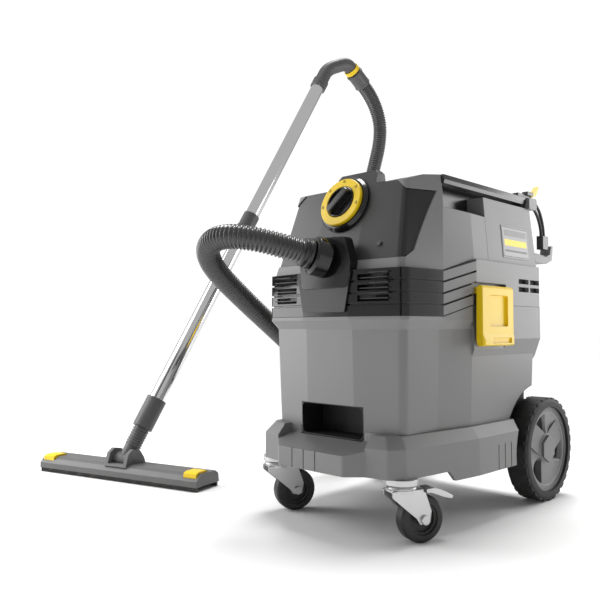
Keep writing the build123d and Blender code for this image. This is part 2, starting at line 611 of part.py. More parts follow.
def dial_parts():
    """Dial on the panel: a boss, the ring for the hose's size and the power knob."""
    plane = panel_plane(DIAL_Z)

    def disc(diameter, z0, z1):
        return extrude(plane.offset(z0) * Circle(diameter / 2), z1 - z0)

    boss = disc(DIAL_BOSS_D, 0.1, DIAL_BOSS_H)
    boss = chamfer(boss.edges().filter_by(GeomType.CIRCLE).sort_by(Axis.Y)[0], 5)
    ring_low = DIAL_BOSS_H + GAP
    yellow = disc(DIAL_RING_D, ring_low, ring_low + DIAL_RING_H) - disc(DIAL_RING_IN, 0, 40)
    yellow = chamfer(yellow.edges().filter_by(GeomType.CIRCLE).sort_by(Axis.Y)[:2], 1.2)
    knob = disc(DIAL_KNOB_D, ring_low, ring_low + 3)
    pointer = extrude(plane.offset(ring_low) * Rot(0, 0, 50) * RectangleRounded(50, 13, 4), DIAL_KNOB_H + 8)
    pointer = chamfer(pointer.faces().sort_by(Axis.Y)[0].edges(), 1.5)
    return boss, yellow, knob + pointer


INLET_DIR = Vector(-0.4, -0.9, 0.25).normalized()
INLET = Vector(0, -198, INLET_Z)


def inlet_parts():
    """Badge plate on the band, and above it the housing that the hose plugs into."""
    front = NOSE_FRONT_Y - BAND_OUT
    badge = along([(-62, 426), (60, 426), (46, 358), (-48, 358)], front - 4, front - 0.1, 4)
    housing = along([(-50, 398), (54, 398), (60, 440), (48, 482), (-40, 486), (-54, 450)],
                    front - 5, front + 14, 9)
    badge -= housing
    band = plate(band_plan(), 300, 500, CORNER_R) & seam_layer(SEAM_Z, BAND_TOP_Z + 0.4, SEAM_RISE, BAND_RISE)
    housing -= head_form(PANEL_INSET) + (head_form() & block(-300, 300, -400, 0, 0, 446)) + band
    collar = rod(66, INLET + INLET_DIR * -4, INLET + INLET_DIR * 22)
    collar = chamfer(collar.edges().filter_by(GeomType.CIRCLE).sort_by(Axis.Y)[0], 4)
    housing = (housing + (collar - block(-300, 300, front, 0, 0, 700))).solids().sort_by(SortBy.VOLUME)[-1]
    housing -= rod(38, INLET + INLET_DIR * 2, INLET + INLET_DIR * 60)
    return badge, housing


HOSE_START = INLET + INLET_DIR * 40
HOSE_LEAD = 48.0           # the hose leaves each cuff straight, over its first and last run
HOSE_POINTS = [
    (-79, -316, 483), (-124, -324, 484), (-168, -311, 474), (-202, -281, 455),
    (-222, -240, 430), (-237, -188, 402), (-250, -128, 368), (-260, -60, 328), (-267, 15, 280),
    (-271, 95, 225), (-275, 170, 165), (-284, 240, 105), (-304, 310, 52), (-338, 385, 24),
    (-388, 458, 25), (-440, 520, 50), (-490, 568, 115), (-520, 590, 215), (-535, 595, 330),
    (-541, 588, 450), (-541, 580, 570), (-538, 578, 680), (-529, 586, 765), (-518, 600, 835),
    (-508, 611, 900), (-501, 604, 962),
]
HANDLE_END = Vector(-500, 478, 1079)
HANDLE_DIR = Vector(0.02, 0.84, -0.54).normalized()
HOSE_END = HANDLE_END + HANDLE_DIR * 50


def cord_path(points):
    """Straight runs joined by tangent arcs, each as large as its two runs allow."""
    points = [Vector(p) for p in points]
    radii = []
    for a, b, c in zip(points, points[1:], points[2:]):
        turn = radians((b - a).get_angle(c - b))
        radii.append(0.45 * min((b - a).length, (c - b).length) / tan(turn / 2))
    return FilletPolyline(*points, radius=radii), radii


def cord_tube(points, diameter):
    path, radii = cord_path(points)
    start = Plane(path @ 0, z_dir=path % 0)
    tube = sweep(start * Circle(diameter / 2), path=path)
    expected = pi * diameter ** 2 / 4 * path.length
    print(f"cord {diameter} mm: length {path.length:.0f}, volume ratio {tube.volume / expected:.4f}, "
          f"radii {[round(r) for r in radii]}")
    return tube


def hose_parts():
    points = [HOSE_START, HOSE_START + INLET_DIR * HOSE_LEAD, *HOSE_POINTS,
              HOSE_END + HANDLE_DIR * HOSE_LEAD, HOSE_END]
    hose = cord_tube(points, HOSE_D)
    cuff = rod(CUFF_D, INLET + INLET_DIR * 22, HOSE_START)
    cuff += rod(38, INLET + INLET_DIR * 2, INLET + INLET_DIR * 23)
    far_cuff = rod(CUFF_D, HANDLE_END, HOSE_END)
    return hose, cuff, far_cuff


# --- wand and floor nozzle ----------------------------------------------------------
def wand_parts():
    """Two suction tubes with the collars that join them, the bent handle and its air ring."""
    a = WAND_BOTTOM
    middle = a + WAND_DIR * TUBE_L
    top = middle + WAND_DIR * TUBE_L
    bore = TUBE_D - 2 * TUBE_WALL
    lower = ring(TUBE_D, bore, a - WAND_DIR * 40, middle - WAND_DIR * 0.2)
    upper = ring(TUBE_D, bore, middle + WAND_DIR * 0.2, top + WAND_DIR * 2)
    coupling = ring(TUBE_D + 6, TUBE_D + 0.1, middle - WAND_DIR * 34, middle + WAND_DIR * 26)
    front_way = WAND_DIR.cross(Vector(-1, 0, 0)).normalized()
    button_at = middle - WAND_DIR * 18
    button = rod(9, button_at + front_way * (TUBE_D / 2 + 2), button_at + front_way * (TUBE_D / 2 + 6))
    bend_points = [top + WAND_DIR * 2, top + WAND_DIR * 50, HANDLE_END - HANDLE_DIR * 36, HANDLE_END]
    path = FilletPolyline(*bend_points, radius=[58, 30])
    handle = sweep(Plane(path @ 0, z_dir=path % 0) * Circle(TUBE_D / 2 + 1), path=path)
    handle -= sweep(Plane(path @ 0, z_dir=path % 0) * Circle(TUBE_D / 2 - 3), path=path)
    collar = ring(TUBE_D + 8, TUBE_D + 0.1, top - WAND_DIR * 24, top + WAND_DIR * 2)
    valve_at = HANDLE_END - HANDLE_DIR * 9
    valve = ring(TUBE_D + 8, TUBE_D + 2 + 2 * RUNNING, valve_at - HANDLE_DIR * 6, valve_at + HANDLE_DIR * 6)
    return lower, upper, group(coupling + button, collar), handle, valve


def nozzle_plane():
    turn = radians(NOZZLE_TURN)
    return Plane((NOZZLE_PIVOT.X, NOZZLE_PIVOT.Y, 0), x_dir=(cos(turn), sin(turn), 0), z_dir=(0, 0, 1))


def nozzle_parts():
    """Floor nozzle with its two strips, end clips, tilting joint and neck."""
    at = nozzle_plane()
    half, front, rear = NOZZLE_W / 2, -NOZZLE_DEPTH / 2, NOZZLE_DEPTH / 2
    axis_z = NOZZLE_PIVOT.Z
    top = NOZZLE_Z1
    section = [(front, NOZZLE_Z0), (front, NOZZLE_Z0 + 12), (front + 9, top - 4), (front + 18, top),
               (rear - 14, top), (rear - 3, top - 7), (rear, NOZZLE_Z0)]
    shell = across(section, -half, half)
    shell -= block(-half + 8, half - 8, front + 8, rear - 8, 0, NOZZLE_Z0 + 8)
    shell -= block(-half + 2, half - 2, front + 2, front + 8, 0, NOZZLE_Z0 + 8)
    shell -= block(-half + 2, half - 2, rear - 8, rear - 2, 0, NOZZLE_Z0 + 8)
    shell -= block(-40, 40, -14, 14, 0, top - 3)
    mount = across([(-34, top - 4), (-24, 58), (-10, 66), (12, 62), (26, 44), (32, top - 4)], -31, 31)
    shell += mount - block(-22, 22, -60, 60, top + 1, 100)
    shell -= rod(BARREL_D + 2, (-22, 0, axis_z), (22, 0, axis_z))
    shell -= rod(10, (-60, 0, axis_z), (60, 0, axis_z))
    strips = []
    for y in (front + 2.2, rear - 7.8):
        strips.append(block(-half + 2.2, half - 2.2, y, y + 5.6, 0, NOZZLE_Z0 + 7.8))
    clips = []
    for side in (-1, 1):
        x0, x1 = sorted((side * (half - 38), side * (half - 6)))
        clips.append(across([(front + 6, top - 10), (front + 6, top + 1), (front + 14, top + 4),
                             (2, top + 4), (8, top - 2)], x0, x1))
        shell -= block(x0 - 1, x1 + 1, front + 5, 9, top - 11, top + 10)
    pin = rod(10, (-31, 0, axis_z), (31, 0, axis_z))
    bore = rod(10 + 2 * RUNNING, (-40, 0, axis_z), (40, 0, axis_z))
    barrel = rod(BARREL_D, (-21.6, 0, axis_z), (21.6, 0, axis_z)) - bore
    neck_end = WAND_BOTTOM - WAND_DIR * 72
    placed = [at * piece for piece in (shell, *strips, *clips, pin, barrel)]
    shell, front_strip, rear_strip, left_clip, right_clip, pin, barrel = placed
    neck = barrel + rod(BARREL_D, NOZZLE_PIVOT, neck_end) - at * bore
    neck -= rod(26, NOZZLE_PIVOT + WAND_DIR * 22, neck_end + WAND_DIR * 5)
    socket = ring(46, TUBE_D + 0.1, neck_end + WAND_DIR * GAP, WAND_BOTTOM)
    return group(shell, pin), group(front_strip, rear_strip), group(left_clip, right_clip), neck, socket


# --- the whole machine --------------------------------------------------------------
def strap_points():
    """Side views of the strap's two runs, from the corner bracket down to the ferrule."""
    outer = [(258.5, 583), (272, 582), (289, 570), (300, 552), (306, 534), (308, 519.2)]
    inner = [(258.5, 571), (268, 569), (281, 558), (290, 544), (295, 531), (296, 519.2)]
    return [(150, y, z) for y, z in outer], [(150, y, z) for y, z in inner]


def strap_parts():
    outer, inner = strap_points()
    ferrule = block(143, 157, 288, 316, 492, 519)
    ferrule = fillet(ferrule.edges().filter_by(Axis.Z), 3)
    arm = across([(243, 480), (250, 462), (296, 462), (322, 470), (328, 500), (320, 500), (314, 482),
                  (296, 476), (262, 480)], 138, 160)
    return cord_tube(outer, 6), cord_tube(inner, 6), ferrule, arm - head_form()


def build():
    nodes = {"tub": make_tub(), "chassis": make_chassis(), "vent_band": make_vent_band(),
             "head_base": make_head_base(), "tub_seal": make_seal(), "rear_axle": make_axle()}
    nodes["head_housing"], nodes["control_panel"] = head_parts()
    nodes["float_cage"], nodes["float_ball"] = float_parts()
    (nodes["fan_case"], nodes["motor_can"], nodes["motor_bearings"],
     nodes["fan_and_rotor"]) = motor_parts()
    nodes["control_board"], nodes["cable_gland"] = make_board(), make_gland()
    nodes["filter_frame"], nodes["filter_pleats"] = make_filter()
    nodes["filter_cover"], nodes["cover_hinge"] = cover_parts()
    nodes["tool_tray"], nodes["corner_bracket"], nodes["strap_hook_base"], nodes["strap_hook"] = tray_parts()
    nodes["label_plate"] = make_label_plate()
    nodes["dial_boss"], nodes["hose_size_ring"], nodes["power_knob"] = dial_parts()
    nodes["inlet_badge"], nodes["inlet_housing"] = inlet_parts()
    nodes["suction_hose"], nodes["hose_cuff_machine"], nodes["hose_cuff_handle"] = hose_parts()
    (nodes["tube_lower"], nodes["tube_upper"], nodes["tube_collars"], nodes["wand_handle"],
     nodes["air_valve_ring"]) = wand_parts()
    (nodes["nozzle_shell"], nodes["nozzle_strips"], nodes["nozzle_clips"], nodes["nozzle_neck"],
     nodes["neck_socket"]) = nozzle_parts()
    nodes["strap_outer"], nodes["strap_inner"], nodes["strap_ferrule"], nodes["strap_arm"] = strap_parts()
    sockets = []
    for name, side in (("left", -1), ("right", 1)):
        nodes[f"wheel_tyre_{name}"], nodes[f"wheel_rim_{name}"] = wheel_parts(side)
        nodes[f"caster_fork_{name}"], nodes[f"caster_wheel_{name}"], socket = caster_parts(side)
        sockets.append(socket)
        nodes[f"latch_{name}"] = make_latch(side)
    nodes["caster_plates"], nodes["latch_pins"] = group(*sockets), make_latch_pins()
    nodes["brake_pedal"] = brake_pedal(1)
    return nodes


CORD_NODES = ("suction_hose", "hose_cuff_machine", "hose_cuff_handle", "strap_outer", "strap_inner")


def row_origin(nodes):
    """Middle of the underside of the box round every piece that isn't on a cord."""
    boxes = [shape.bounding_box() for name, shape in nodes.items() if name not in CORD_NODES]
    low = [min(getattr(b.min, axis) for b in boxes) for axis in "XYZ"]
    high = [max(getattr(b.max, axis) for b in boxes) for axis in "XYZ"]
    return Vector((low[0] + high[0]) / 2, (low[1] + high[1]) / 2, low[2])


def main():
    os.makedirs("parts", exist_ok=True)
    nodes = build()
    origin = row_origin(nodes)
    print("row origin in machine coordinates", origin)
    for name, shape in nodes.items():
        export_step(Pos(-origin) * shape, f"parts/{name}.step")


if __name__ == "__main__":
    main()
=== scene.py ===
# %% [markdown]
# A wet-and-dry shop vacuum stands on a pale studio floor, with its hose, its suction tubes and
# its floor nozzle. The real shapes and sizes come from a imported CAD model, and this scene
# dresses it: moulded grain on the plastics, corrugations on the hose, tread on the wheels.

import json
import math

import bmesh
import bpy
import numpy as np
from mathutils import Matrix, Vector


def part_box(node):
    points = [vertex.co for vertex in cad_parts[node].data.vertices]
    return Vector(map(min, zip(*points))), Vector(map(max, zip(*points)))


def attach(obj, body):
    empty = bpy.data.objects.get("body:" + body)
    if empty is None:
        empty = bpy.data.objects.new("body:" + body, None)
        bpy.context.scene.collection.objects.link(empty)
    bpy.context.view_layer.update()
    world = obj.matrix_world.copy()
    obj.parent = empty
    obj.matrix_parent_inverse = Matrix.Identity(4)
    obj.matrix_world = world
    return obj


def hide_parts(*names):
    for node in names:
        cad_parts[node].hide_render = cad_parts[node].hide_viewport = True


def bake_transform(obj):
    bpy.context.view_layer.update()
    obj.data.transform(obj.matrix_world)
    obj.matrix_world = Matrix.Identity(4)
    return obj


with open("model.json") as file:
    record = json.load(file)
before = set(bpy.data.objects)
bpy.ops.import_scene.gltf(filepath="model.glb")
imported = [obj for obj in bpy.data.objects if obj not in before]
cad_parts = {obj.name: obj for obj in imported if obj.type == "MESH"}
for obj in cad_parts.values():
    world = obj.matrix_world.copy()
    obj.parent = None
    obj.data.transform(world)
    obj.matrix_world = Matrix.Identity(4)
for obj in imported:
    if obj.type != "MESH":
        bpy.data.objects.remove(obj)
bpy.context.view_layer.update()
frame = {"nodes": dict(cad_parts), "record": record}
nodes = frame["nodes"]

# %% [markdown]
# The maker measures a machine from the middle of its footprint, not from the corner of a
# shelf. The rear axle gives that middle: it is centred across the machine, and it lies a known
# distance behind the middle. One small function then turns a maker's millimetres into the
# frame's metres, so that every later piece can be read like a drawing.

# %% The machine's own measure
AXLE_BEHIND = 249.0
axle_low, axle_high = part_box("rear_axle")
axle_middle = (axle_low + axle_high) / 2
MIDDLE = Vector((axle_middle.x, axle_middle.y - AXLE_BEHIND / 1000, 0))


def at(x, y, z):
    """A place in millimetres from the machine's middle on the floor, in the frame's metres."""
    return MIDDLE + Vector((x, y, z)) / 1000


print("machine's middle in the frame:", tuple(round(v, 4) for v in MIDDLE))

# %% [markdown]
# A product view of a machine this size is taken from about standing distance and low down,
# so that the body looks solid and the wheels show. A camera could be aimed with a Track To
# constraint, but its two angles say the same thing without a target to keep: the heading is
# turned about Z, and the small pitch tips the view up.

# %% Camera
CAMERA_AT = at(778.5, -1042, 332.5)
HEADING = math.radians(44.6)
PITCH = math.radians(2.32)
FOCAL_MM = 41.16
camera_data = bpy.data.cameras.new("studio_camera")
camera_data.lens = FOCAL_MM
camera_data.sensor_width = 36.0
camera_data.clip_start, camera_data.clip_end = 0.02, 100.0
camera = bpy.data.objects.new("studio_camera", camera_data)
camera.location = CAMERA_AT
camera.rotation_euler = (math.pi / 2 + PITCH, 0, HEADING)
bpy.context.scene.collection.objects.link(camera)
bpy.context.scene.camera = camera
print("camera stands", round((CAMERA_AT - MIDDLE).length, 3), "m from the machine")

# %% [markdown]
# The hose is the cord of this machine: one length of corrugated tube that leaves the inlet,
# loops round the side, runs along the floor behind the machine and climbs to the handle. Its
# centreline is a NURBS curve, because a NURBS never wiggles between its control points, as a
# real hose does not. The route comes before any looks, since it decides how much room the
# whole object takes.

# %% Route of the hose
INLET_POINT = Vector((0, -198, 449))
INLET_WAY = Vector((-0.4, -0.9, 0.25)).normalized()
HANDLE_END = Vector((-500, 478, 1079))
HANDLE_WAY = Vector((0.02, 0.84, -0.54)).normalized()
STRAIGHT_END = 48.0
HOSE_WAYPOINTS = [
    (-79, -316, 483), (-124, -324, 484), (-168, -311, 474), (-202, -281, 455), (-222, -240, 430),
    (-237, -188, 402), (-250, -128, 368), (-260, -60, 328), (-267, 15, 280), (-271, 95, 225),
    (-275, 170, 165), (-284, 240, 105), (-304, 310, 52), (-338, 385, 24), (-388, 458, 25),
    (-440, 520, 50), (-490, 568, 115), (-520, 590, 215), (-535, 595, 330), (-541, 588, 450),
    (-541, 580, 570), (-538, 578, 680), (-529, 586, 765), (-518, 600, 835), (-508, 611, 900),
    (-501, 604, 962),
]
hose_start = INLET_POINT + INLET_WAY * 40
hose_end = HANDLE_END + HANDLE_WAY * 50
hose_route = [hose_start, hose_start + INLET_WAY * STRAIGHT_END]
hose_route += [Vector(p) for p in HOSE_WAYPOINTS]
hose_route += [hose_end + HANDLE_WAY * STRAIGHT_END, hose_end]


def spline_of(name, points):
    """A smooth open NURBS line through the room of its control points, as a curve object."""
    data = bpy.data.curves.new(name, "CURVE")
    data.dimensions = "3D"
    data.resolution_u = 12
    spline = data.splines.new("NURBS")
    spline.points.add(len(points) - 1)
    for point, place in zip(spline.points, points):
        point.co = (*at(*place), 1.0)
    spline.order_u = 3
    spline.use_endpoint_u = True
    obj = bpy.data.objects.new(name, data)
    bpy.context.scene.collection.objects.link(obj)
    return obj


def line_points(curve):
    """The points that a curve without a bevel runs through."""
    flat = bpy.data.meshes.new_from_object(curve)
    points = [v.co.copy() for v in flat.vertices]
    bpy.data.meshes.remove(flat)
    return points


route_curve = spline_of("hose_route", hose_route)
hose_path = line_points(route_curve)

# %% [markdown]
# Geometry Nodes trees are built several times below. A tiny wrapper keeps them readable: it
# makes a node, sets its properties and wires its inputs in one line. A finished tree can be
# run many times with other sizes, and each result is baked to a plain mesh, because an
# exported model cannot carry instances.

# %% Small helpers for Geometry Nodes
def new_object(name, data):
    obj = bpy.data.objects.new(name, data)
    bpy.context.scene.collection.objects.link(obj)
    return obj


class Tree:
    """A Geometry Nodes tree with named inputs, run as often as needed."""

    def __init__(self, name):
        self.group = bpy.data.node_groups.new(name, "GeometryNodeTree")
        self.group.interface.new_socket("Geometry", in_out="OUTPUT", socket_type="NodeSocketGeometry")
        self.given = self.group.nodes.new("NodeGroupInput")
        self.output = self.group.nodes.new("NodeGroupOutput")
        self.identifiers = {}

    def value(self, name, kind):
        """Adds a named input and gives the socket to wire from."""
        made = self.group.interface.new_socket(name, in_out="INPUT", socket_type="NodeSocket" + kind)
        self.identifiers[name] = made.identifier
        return self.given.outputs[name]

    def node(self, kind, properties=None, inputs=()):
        """Makes a node. Inputs are pairs of a socket's name or number and a socket or value."""
        made = self.group.nodes.new(kind)
        for key, setting in (properties or {}).items():
            setattr(made, key, setting)
        for key, source in inputs:
            if isinstance(source, bpy.types.NodeSocket):
                self.group.links.new(source, made.inputs[key])
            else:
                made.inputs[key].default_value = source
        return made

    def maths(self, operation, a, b=0.0):
        return self.node("ShaderNodeMath", {"operation": operation}, [(0, a), (1, b)]).outputs[0]

    def vector(self, operation, a, b):
        made = self.node("ShaderNodeVectorMath", {"operation": operation}, [(0, a)])
        key = "Scale" if operation == "SCALE" else 1
        if isinstance(b, bpy.types.NodeSocket):
            self.group.links.new(b, made.inputs[key])
        else:
            made.inputs[key].default_value = b
        return made.outputs[0]

    def end(self, geometry, smooth=True):
        """Closes the tree: instances become real, then get their shading and their finish."""
        material = self.value("Finish", "Material")
        real = self.node("GeometryNodeRealizeInstances", None, [(0, geometry)]).outputs[0]
        shaded = self.node("GeometryNodeSetShadeSmooth", None, [(0, real), ("Shade Smooth", smooth)])
        coated = self.node("GeometryNodeSetMaterial", None,
                           [(0, shaded.outputs[0]), ("Material", material)])
        self.group.links.new(coated.outputs[0], self.output.inputs[0])
        return self

    def run(self, name, settings):
        """Runs the tree with these sizes and returns the result as a plain mesh object."""
        host = new_object(name + "_host", bpy.data.meshes.new(name + "_host"))
        modifier = host.modifiers.new("nodes", "NODES")
        modifier.node_group = self.group
        for label, setting in settings.items():
            modifier[self.identifiers[label]] = setting
        graph = bpy.context.evaluated_depsgraph_get()
        mesh = bpy.data.meshes.new_from_object(host.evaluated_get(graph), depsgraph=graph)
        host.modifiers.remove(modifier)
        bpy.data.objects.remove(host)
        mesh.name = name
        print(name, "-", len(mesh.polygons), "faces")
        return new_object(name, mesh)


# %% [markdown]
# Two trees cover most of what repeats on a machine. One sets copies of a piece round a circle,
# as for tread lugs, tick marks and the ribs of a knob. The other sets them in a row, as for
# bristles, slats and comb teeth, and can lean each one a little at random from a fixed seed.

# %% Copies round a circle, and copies in a row
def make_circle_tree():
    tree = Tree("copies_round_a_circle")
    piece, count = tree.value("Piece", "Object"), tree.value("Count", "Int")
    centre, axis = tree.value("Centre", "Vector"), tree.value("Axis", "Vector")
    arm, sweep = tree.value("Arm", "Vector"), tree.value("Sweep", "Float")
    points = tree.node("GeometryNodePoints", None, [("Count", count)]).outputs[0]
    number = tree.node("GeometryNodeInputIndex").outputs[0]
    angle = tree.maths("MULTIPLY", tree.maths("DIVIDE", number, count), sweep)
    turned_arm = tree.node("ShaderNodeVectorRotate", {"rotation_type": "AXIS_ANGLE"},
                           [("Vector", arm), ("Axis", axis), ("Angle", angle)]).outputs[0]
    place = tree.vector("ADD", centre, turned_arm)
    placed = tree.node("GeometryNodeSetPosition", None, [(0, points), ("Position", place)]).outputs[0]
    turn = tree.node("FunctionNodeAxisAngleToRotation", None, [("Axis", axis), ("Angle", angle)]).outputs[0]
    shape = tree.node("GeometryNodeObjectInfo", {"transform_space": "ORIGINAL"}, [("Object", piece)])
    copies = tree.node("GeometryNodeInstanceOnPoints", None,
                       [("Points", placed), ("Instance", shape.outputs["Geometry"]), ("Rotation", turn)])
    return tree.end(copies.outputs[0], smooth=False)


def make_row_tree():
    tree = Tree("copies_in_a_row")
    piece, count = tree.value("Piece", "Object"), tree.value("Count", "Int")
    start, step = tree.value("Start", "Vector"), tree.value("Step", "Vector")
    lean, seed = tree.value("Lean", "Float"), tree.value("Seed", "Int")
    points = tree.node("GeometryNodePoints", None, [("Count", count)]).outputs[0]
    number = tree.node("GeometryNodeInputIndex").outputs[0]
    place = tree.vector("ADD", start, tree.vector("SCALE", step, number))
    placed = tree.node("GeometryNodeSetPosition", None, [(0, points), ("Position", place)]).outputs[0]
    chance = tree.node("FunctionNodeRandomValue", {"data_type": "FLOAT_VECTOR"},
                       [(0, (-1.0, -1.0, -1.0)), (1, (1.0, 1.0, 1.0)), ("Seed", seed)]).outputs[0]
    lean_angles = tree.vector("SCALE", chance, lean)
    turn = tree.node("FunctionNodeEulerToRotation", None, [(0, lean_angles)]).outputs[0]
    shape = tree.node("GeometryNodeObjectInfo", {"transform_space": "ORIGINAL"}, [("Object", piece)])
    copies = tree.node("GeometryNodeInstanceOnPoints", None,
                       [("Points", placed), ("Instance", shape.outputs["Geometry"]), ("Rotation", turn)])
    return tree.end(copies.outputs[0], smooth=False)


CIRCLE = make_circle_tree()
ROW = make_row_tree()


def round_circle(name, piece, count, centre, axis, arm, material, sweep=2 * math.pi):
    """Copies of a piece round a circle. The piece is drawn as it stands at the end of the arm."""
    made = CIRCLE.run(name, {"Piece": piece, "Count": count, "Centre": tuple(centre), "Axis": tuple(axis),
                             "Arm": tuple(arm), "Sweep": sweep, "Finish": material})
    bpy.data.objects.remove(piece)
    return made


def in_row(name, piece, count, start, step, material, lean=0.0, seed=1):
    """Copies of a piece in a straight row, from a start and by a step."""
    made = ROW.run(name, {"Piece": piece, "Count": count, "Start": tuple(start), "Step": tuple(step),
                          "Lean": lean, "Seed": seed, "Finish": material})
    bpy.data.objects.remove(piece)
    return made


# %% [markdown]
# Single pieces come from a few mesh recipes. A turned piece is a profile spun round an axis,
# as on a lathe. A bar is an outline given a thickness and eased edges, as a saw and a file
# would leave it. Both are built straight in the frame, so their objects stay at the origin.

# %% Mesh recipes
def mesh_object(name, builder, material, smooth_angle=35.0):
    """Turns a bmesh into an object, its faces outwards and smooth but for its sharp edges."""
    bmesh.ops.remove_doubles(builder, verts=builder.verts, dist=1e-6)
    bmesh.ops.recalc_face_normals(builder, faces=builder.faces)
    for face in builder.faces:
        face.smooth = True
    for edge in builder.edges:
        if len(edge.link_faces) == 2 and edge.calc_face_angle() > math.radians(smooth_angle):
            edge.smooth = False
    mesh = bpy.data.meshes.new(name)
    builder.to_mesh(mesh)
    builder.free()
    mesh.materials.append(material)
    return new_object(name, mesh)


def across_axes(axis):
    """Two directions square to an axis and to each other."""
    axis = Vector(axis).normalized()
    side = axis.orthogonal().normalized()
    return side, axis.cross(side)


def turned(name, profile, centre, axis, material, steps=64):
    """A lathe piece. The profile is a closed loop of (radius, distance along the axis), in metres."""
    builder = bmesh.new()
    axis = Vector(axis).normalized()
    side, up = across_axes(axis)
    rings = []
    for k in range(steps):
        angle = 2 * math.pi * k / steps
        out = side * math.cos(angle) + up * math.sin(angle)
        rings.append([builder.verts.new(Vector(centre) + out * r + axis * h) for r, h in profile])
    for k, ring in enumerate(rings):
        following = rings[(k + 1) % steps]
        for j in range(len(profile)):
            i = (j + 1) % len(profile)
            corners = [ring[j], ring[i], following[i], following[j]]
            if profile[j][0] < 1e-7 and profile[i][0] < 1e-7:
                continue
            builder.faces.new(corners)
    return mesh_object(name, builder, material)


def bar(name, outline, origin, right, up, thickness, material, ease=0.0006, segments=2):
    """A flat outline given a thickness along right x up, with eased edges. Metres throughout."""
    builder = bmesh.new()
    right, up = Vector(right).normalized(), Vector(up).normalized()
    depth = right.cross(up)
    flat = [builder.verts.new(Vector(origin) + right * x + up * y) for x, y in outline]
    face = builder.faces.new(flat)
    grown = bmesh.ops.extrude_face_region(builder, geom=[face])
    for item in grown["geom"]:
        if isinstance(item, bmesh.types.BMVert):
            item.co += depth * thickness
    if ease:
        bmesh.ops.bevel(builder, geom=list(builder.edges), offset=ease, segments=segments,
                        profile=0.5, affect="EDGES", clamp_overlap=True)
    return mesh_object(name, builder, material)


def box_bar(name, low, high, material, ease=0.0006):
    """A box between two corners, with eased edges."""
    low, high = Vector(low), Vector(high)
    size = high - low
    outline = [(0, 0), (size.x, 0), (size.x, size.y), (0, size.y)]
    return bar(name, outline, low, (1, 0, 0), (0, 1, 0), size.z, material, ease)


def joined(name, pieces):
    """Several mesh pieces made one."""
    builder = bmesh.new()
    materials = []
    for piece in pieces:
        own = piece.data.materials[0]
        if own not in materials:
            materials.append(own)
        piece.data.polygons.foreach_set("material_index", [materials.index(own)] * len(piece.data.polygons))
        builder.from_mesh(piece.data)
        bpy.data.objects.remove(piece)
    mesh = bpy.data.meshes.new(name)
    builder.to_mesh(mesh)
    builder.free()
    for own in materials:
        mesh.materials.append(own)
    return new_object(name, mesh)


def fitted(obj, body, slot, *stands_for):
    """A finished piece: it rides on a body and may stand for CAD nodes. The slot is not used."""
    if stands_for:
        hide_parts(*stands_for)
    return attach(obj, body)


print("recipes ready")

# %% [markdown]
# Every moulded or cast surface shares three effects: a fine grain from the mould, soft edges
# that catch the light and carry a painted highlight, and a little dust where the machine stands
# near the floor. Each effect is one shader node group, built once and placed in each material
# with its own values. The groups give out only masks, heights and normals, and the shader
# itself stays in the material.

# %% Shared shader groups
def shader_group(name, inputs, outputs):
    """An empty shader group with named sockets, and its input and output nodes."""
    group = bpy.data.node_groups.new(name, "ShaderNodeTree")
    for label, kind, start in inputs:
        made = group.interface.new_socket(label, in_out="INPUT", socket_type=kind)
        made.default_value = start
    for label, kind in outputs:
        group.interface.new_socket(label, in_out="OUTPUT", socket_type=kind)
    return group, group.nodes.new("NodeGroupInput"), group.nodes.new("NodeGroupOutput")


def wire(tree, sockets, sources):
    """Gives each socket its source, which is another socket or a plain value."""
    for socket, source in zip(sockets, sources):
        if isinstance(source, bpy.types.NodeSocket):
            tree.links.new(source, socket)
        else:
            socket.default_value = source


def shader_maths(tree, operation, a, b, clamp=False):
    node = tree.nodes.new("ShaderNodeMath")
    node.operation = operation
    node.use_clamp = clamp
    wire(tree, node.inputs, (a, b))
    return node.outputs[0]


def make_grain():
    """Fine pimples of the mould, and the slow change of tone across a large moulding."""
    group, given, out = shader_group(
        "mould_grain",
        [("Size", "NodeSocketFloat", 700.0), ("Slow size", "NodeSocketFloat", 9.0)],
        [("Height", "NodeSocketFloat"), ("Tone", "NodeSocketFloat")])
    place = group.nodes.new("ShaderNodeTexCoord")
    for socket, label, detail in (("Size", "Height", 2.0), ("Slow size", "Tone", 4.0)):
        noise = group.nodes.new("ShaderNodeTexNoise")
        noise.inputs["Detail"].default_value = detail
        group.links.new(place.outputs["Object"], noise.inputs["Vector"])
        group.links.new(given.outputs[socket], noise.inputs["Scale"])
        group.links.new(noise.outputs[0], out.inputs[label])
    return group


def make_soft_edges():
    """Rounds the shading at sharp edges, and says where an edge stands proud."""
    group, given, out = shader_group(
        "soft_edges",
        [("Radius", "NodeSocketFloat", 0.0015)],
        [("Normal", "NodeSocketVector"), ("Edge", "NodeSocketFloat")])
    rounded = group.nodes.new("ShaderNodeBevel")
    rounded.samples = 4
    group.links.new(given.outputs["Radius"], rounded.inputs["Radius"])
    true = group.nodes.new("ShaderNodeNewGeometry")
    dot = group.nodes.new("ShaderNodeVectorMath")
    dot.operation = "DOT_PRODUCT"
    group.links.new(rounded.outputs[0], dot.inputs[0])
    group.links.new(true.outputs["Normal"], dot.inputs[1])
    edge = shader_maths(group, "SUBTRACT", 1.0, dot.outputs["Value"])
    edge = shader_maths(group, "MULTIPLY", edge, 4.0, clamp=True)
    group.links.new(rounded.outputs[0], out.inputs["Normal"])
    group.links.new(edge, out.inputs["Edge"])
    return group


